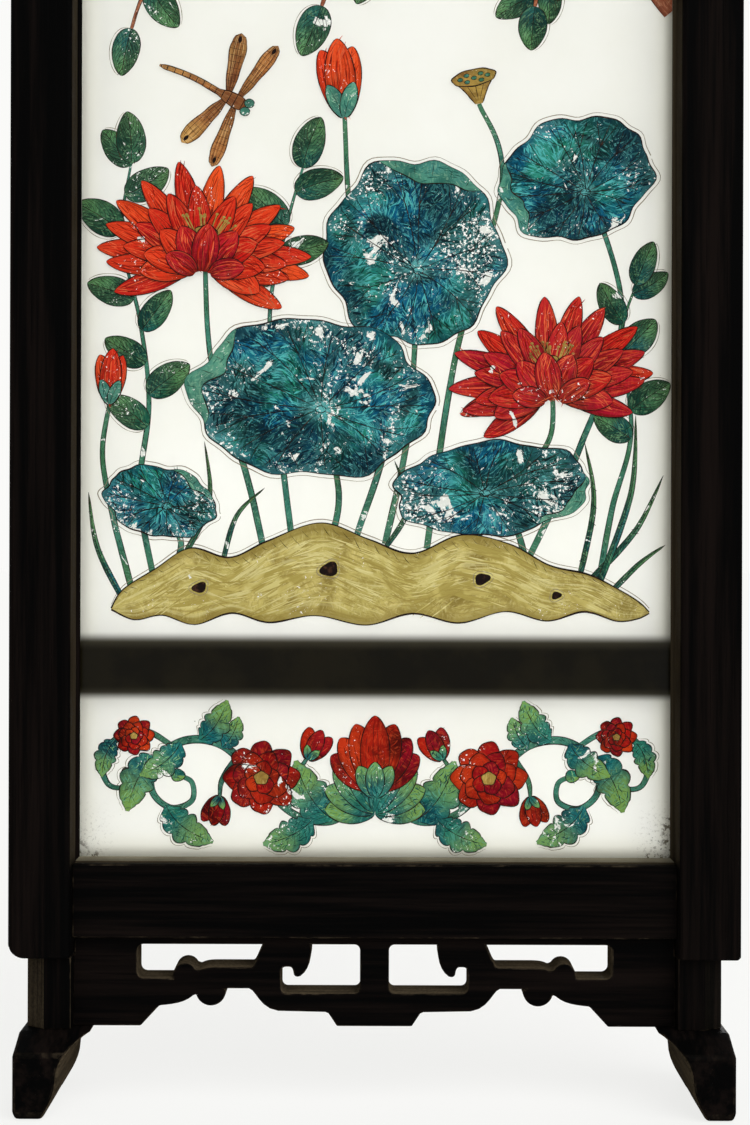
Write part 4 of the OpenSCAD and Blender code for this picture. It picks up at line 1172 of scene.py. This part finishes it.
# dark, light and middle colour, how much has come off, how much of the pools' darkness shows, and
# another middle colour that takes turns with the first
dabTint = {
    "leafDabPaint": ((4, 22, 28), (84, 182, 180), (6, 86, 120), 1.35, 0.95, (34, 128, 102)),
    "bankDabPaint": ((152, 134, 66), (220, 210, 146), (190, 176, 102), 0.0, 0.3),
    "bankWashPaint": ((162, 146, 74), (208, 196, 126), (190, 174, 100), 0.0, 0.2),
    "petalDabPaint": ((104, 10, 6), (232, 112, 70), (194, 34, 14), 0.5, 0.4),
    "foldDabPaint": ((18, 66, 62), (146, 196, 160), (58, 128, 108), 0.4, 0.5),
    "reedDabPaint": ((8, 30, 25), (112, 158, 110), (28, 80, 60), 0.7, 0.8),
    "rosetteDabPaint": ((58, 4, 2), (204, 70, 34), (150, 20, 8), 0.75, 0.6),
    "sprayDabPaint": ((8, 46, 54), (136, 186, 126), (34, 112, 92), 0.85, 0.6),
    "limbDabPaint": ((92, 42, 30), (206, 156, 122), (140, 82, 56), 0.3, 0.5),
}


def dabPaint(name, dark, light, third, flake, depth, other=None):
    # each dab has one tone, with bristle marks along it, and has come off where the paint under it has;
    # dark and light dabs keep to zones of their own
    material, where = newMaterial(name)
    tone = attribute("tone")
    zone = plus(noise(where, 62, 3, 0.5, 0.7), times(tone, 0.28))
    if other:
        third = blend(spread(noise(where, 38, 3, 0.5), 0.46, 0.6), third, other)
    colour = blend(spread(zone, 0.56, 0.66), dark, third)
    colour = blend(spread(zone, 0.67, 0.75), colour, light)
    marks = bristles(wired("ShaderNodeUVMap", uv_map="UVMap"), (1.2, 7, 1), tone, (53.0,))
    colour = blend(spread(marks, 0.42, 0.66, 0.0, 0.4), colour, third)
    colour = blend(times(pools(where), depth), colour, dark)
    gone, bare, _ = flaked(where, flake)
    return finished(material, coat(blend(gone, colour, bare), spread(marks, 0.3, 0.7, 0.4, 0.6),
                                   paintFilm["specular"], bump(marks, 0.3, 0.0001)))


def dabTree():
    global tree
    tree = bpy.data.node_groups.new("brush_dabs", "GeometryNodeTree")
    sizes = [(label, "Int" if label == "Seed" else "Float") for label in dabSizes]
    for label, kind in [("Painted film", "Geometry"), *sizes, ("Paint", "Material")]:
        tree.interface.new_socket(label, in_out="INPUT", socket_type="NodeSocket" + kind)
    tree.interface.new_socket("Dabs", in_out="OUTPUT", socket_type="NodeSocketGeometry")
    given = tree.nodes.new("NodeGroupInput").outputs

    def chanceOf(low, high, shift):
        return put("FunctionNodeRandomValue", {2: low, 3: high, 8: plus(given["Seed"], shift)},
                   data_type="FLOAT").outputs[1]

    # one dab: a strip that narrows to both ends and bends
    long = given["Dab length"]
    sheet = put("GeometryNodeMeshGrid", {"Size X": long, "Size Y": given["Dab width"],
                                         "Vertices X": 5, "Vertices Y": 2}).outputs
    place = put("ShaderNodeSeparateXYZ", {0: wired("GeometryNodeInputPosition")}).outputs
    t = maths("DIVIDE", place[0], long)
    taper = maths("POWER", maths("COSINE", times(t, 2.9)), 0.6)
    bow = times(times(times(t, t), given["Bend"]), long)
    shaped = wired("GeometryNodeSetPosition", {
        "Geometry": sheet["Mesh"],
        "Position": wired("ShaderNodeCombineXYZ", {0: place[0], 1: plus(times(place[1], taper), bow)})})
    mapped = wired("GeometryNodeStoreNamedAttribute", {
        "Geometry": shaped, "Name": "UVMap", "Value": sheet["UV Map"]}, data_type="FLOAT2", domain="CORNER")

    # where the dabs lie: anywhere on the film that isn't too near its rim, turned with the film's flow
    inset = wired("GeometryNodeInputNamedAttribute", {"Name": "inset"}, data_type="FLOAT")
    inside = wired("FunctionNodeCompare", {0: inset, 1: given["Clear of the rim"]}, data_type="FLOAT",
                   operation="GREATER_THAN")
    spots = put("GeometryNodeDistributePointsOnFaces", {
        "Mesh": given["Painted film"], "Density": given["Dabs per square metre"], "Seed": given["Seed"]})
    kept = wired("GeometryNodeDeleteGeometry", {
        0: spots.outputs["Points"], 1: wired("FunctionNodeBooleanMath", {0: inside}, operation="NOT")},
        domain="POINT")
    flow = put("ShaderNodeSeparateXYZ", {
        0: wired("GeometryNodeInputNamedAttribute", {"Name": "flow"}, data_type="FLOAT_VECTOR")}).outputs
    drift = wired("ShaderNodeTexNoise", {"Scale": 60.0, "Detail": 1.0})
    wander = plus(times(chanceOf(-1.0, 1.0, 1), given["Scatter"]),
                  times(maths("SUBTRACT", drift, 0.5), given["Swirl"]))
    turn = plus(maths("ARCTAN2", flow[2], flow[0]), wander)
    lifted = wired("GeometryNodeSetPosition", {
        "Geometry": kept, "Offset": wired("ShaderNodeCombineXYZ", {
            1: times(plus(chanceOf(0.0, 1.0, 2), 1.0), times(given["Lift"], -1.0))})})
    laid = wired("GeometryNodeInstanceOnPoints", {
        "Points": lifted, "Instance": mapped, "Scale": chanceOf(0.55, 1.25, 3),
        "Rotation": wired("FunctionNodeEulerToRotation", {0: (math.pi / 2, 0, 0)})})
    turned = wired("GeometryNodeRotateInstances", {
        "Instances": laid, "Local Space": True,
        "Rotation": wired("FunctionNodeEulerToRotation", {0: wired("ShaderNodeCombineXYZ", {2: turn})})})
    toned = wired("GeometryNodeStoreNamedAttribute", {
        "Geometry": turned, "Name": "tone", "Value": chanceOf(0.0, 1.0, 4)}, data_type="FLOAT", domain="INSTANCE")
    real = wired("GeometryNodeRealizeInstances", {0: toned})
    painted = wired("GeometryNodeSetMaterial", {"Geometry": real, "Material": given["Paint"]})
    tree.links.new(painted, tree.nodes.new("NodeGroupOutput").inputs[0])
    return tree


dabs = dabTree()
dabPaints = {name: dabPaint(name, *tints) for name, tints in dabTint.items()}
for name, (film, tint, *sizes) in brushDabs.items():
    under = newObject("film_" + name, filmMesh("film_" + name, film, leafPaint))
    laying = under.modifiers.new("brush_dabs", "NODES")
    laying.node_group = dabs
    given = dict(zip(dabSizes, sizes), Paint=dabPaints[tint])
    for socket in dabs.interface.items_tree:
        if socket.in_out == "INPUT" and socket.name in given:
            laying[socket.identifier] = given[socket.name]
    seen = bpy.context.evaluated_depsgraph_get()
    mesh = bpy.data.meshes.new_from_object(under.evaluated_get(seen), preserve_all_data_layers=True,
                                           depsgraph=seen)
    bpy.data.objects.remove(under)
    trim(mesh)
    filmPiece("dabs_" + name, mesh, 0.4)


# beads, pins and brads
smallParts = {
    "bamboo": (150, 116, 70),
    "bambooDark": (96, 68, 38),
    "iron": (52, 46, 43),
    "rust": (98, 52, 28),
}


def bambooMaterial():
    material, where = newMaterial("bamboo_pin")
    dots = put("ShaderNodeTexVoronoi", {"Vector": where, "Scale": 2600}).outputs["Distance"]
    fibres = noise(stretched(where, (1500, 60, 1500)), 1.0, 3)
    colour = blend(spread(dots, 0.15, 0.5), smallParts["bambooDark"], smallParts["bamboo"])
    colour = blend(times(fibres, 0.5), colour, smallParts["bambooDark"])
    return finished(material, coat(colour, spread(fibres, 0.3, 0.7, 0.5, 0.75), 0.3, bump(dots, 0.3, 0.0001)))


def ironMaterial():
    material, where = newMaterial("old_iron")
    patches = noise(where, 900, 6, 0.7)
    colour = blend(spread(patches, 0.42, 0.6), smallParts["iron"], smallParts["rust"])
    return finished(material, coat(colour, spread(patches, 0.35, 0.6, 0.45, 0.8),
                                   relief=bump(patches, 0.4, 0.0001),
                                   metal=spread(patches, 0.42, 0.6, 0.85, 0.1)))


carried(uprightWood, "bead_left")
# painted light: the right bead and the sill bead are painted a lighter brown where the pane lights them
carried(sideBeadWood, "bead_right")
carried(levelWood, "bead_top")
carried(sillBeadWood, "bead_bottom")
carried(bambooMaterial(), "stand_pins", "panel_pins")
carried(ironMaterial(), "stop_brads")
print("beads, pins and brads finished")


# floor, light and camera
studio = {
    "floor": (249, 249, 247),
    "backdrop": (250, 250, 248),
    "floorReach": 40,
    "aroundLight": 0.36,
    "frontSun": {"strength": 2.2, "azimuth": 35, "elevation": 42, "softness": 60},
    "backSun": {"strength": 2.04, "azimuth": 168, "elevation": 8, "softness": 26},
    "shadowShown": 0.17,
    "lens": 55,
    "cameraPlace": (-0.0003, -0.743, 0.232),
    "cameraRoll": 0.003,
}


def studioFloor():
    reach = studio["floorReach"]
    mesh = bpy.data.meshes.new("studio_floor")
    mesh.from_pydata([(-reach, -reach, 0), (reach, -reach, 0), (reach, reach, 0), (-reach, reach, 0)], [],
                     [(0, 1, 2, 3)])
    material = newMaterial("studio_floor")[0]
    shaded = wired("ShaderNodeBsdfDiffuse", {"Color": srgb(*studio["floor"])})
    even = wired("ShaderNodeEmission", {0: srgb(*studio["backdrop"]), 1: 1.0})
    seen = put("ShaderNodeLightPath").outputs["Is Camera Ray"]
    mesh.materials.append(finished(material, mixed(times(seen, 1 - studio["shadowShown"]), shaded, even)))
    floor = newObject("studio_floor", mesh)


def sun(name, strength, azimuth, elevation, softness):
    # azimuth 0 is in front of the screen, positive to its right
    data = bpy.data.lights.new(name, "SUN")
    data.energy = strength
    data.angle = math.radians(softness)
    turn, lift = math.radians(azimuth), math.radians(elevation)
    towards = Vector((math.sin(turn) * math.cos(lift), -math.cos(turn) * math.cos(lift), math.sin(lift)))
    newObject(name, data).rotation_euler = towards.to_track_quat("Z", "Y").to_euler()


def studioWorld():
    global tree
    world = bpy.data.worlds.new("studio")
    bpy.context.scene.world = world
    world.use_nodes = True
    tree = world.node_tree
    tree.nodes.clear()
    path = put("ShaderNodeLightPath").outputs
    seen = most(most(path["Is Camera Ray"], path["Is Glossy Ray"]), path["Is Transmission Ray"])
    light = wired("ShaderNodeBackground", {0: (1, 1, 1, 1), 1: studio["aroundLight"]})
    shown = wired("ShaderNodeBackground", {0: srgb(*studio["backdrop"]), 1: 1.0})
    tree.links.new(mixed(seen, light, shown), put("ShaderNodeOutputWorld").inputs[0])


def studioCamera():
    data = bpy.data.cameras.new("photo_camera")
    data.lens = studio["lens"]
    data.sensor_width = 36
    data.clip_start = 0.01
    camera = newObject("photo_camera", data)
    camera.location = studio["cameraPlace"]
    camera.rotation_mode = "ZYX"    # the roll about the view comes first, so that it doesn't swing the view
    camera.rotation_euler = (math.pi / 2, 0, studio["cameraRoll"])
    bpy.context.scene.camera = camera


studioFloor()
sun("front_sun", **studio["frontSun"])
sun("back_sun", **studio["backSun"])
studioWorld()
studioCamera()
bpy.context.scene.view_settings.view_transform = "Standard"
print("studio ready")
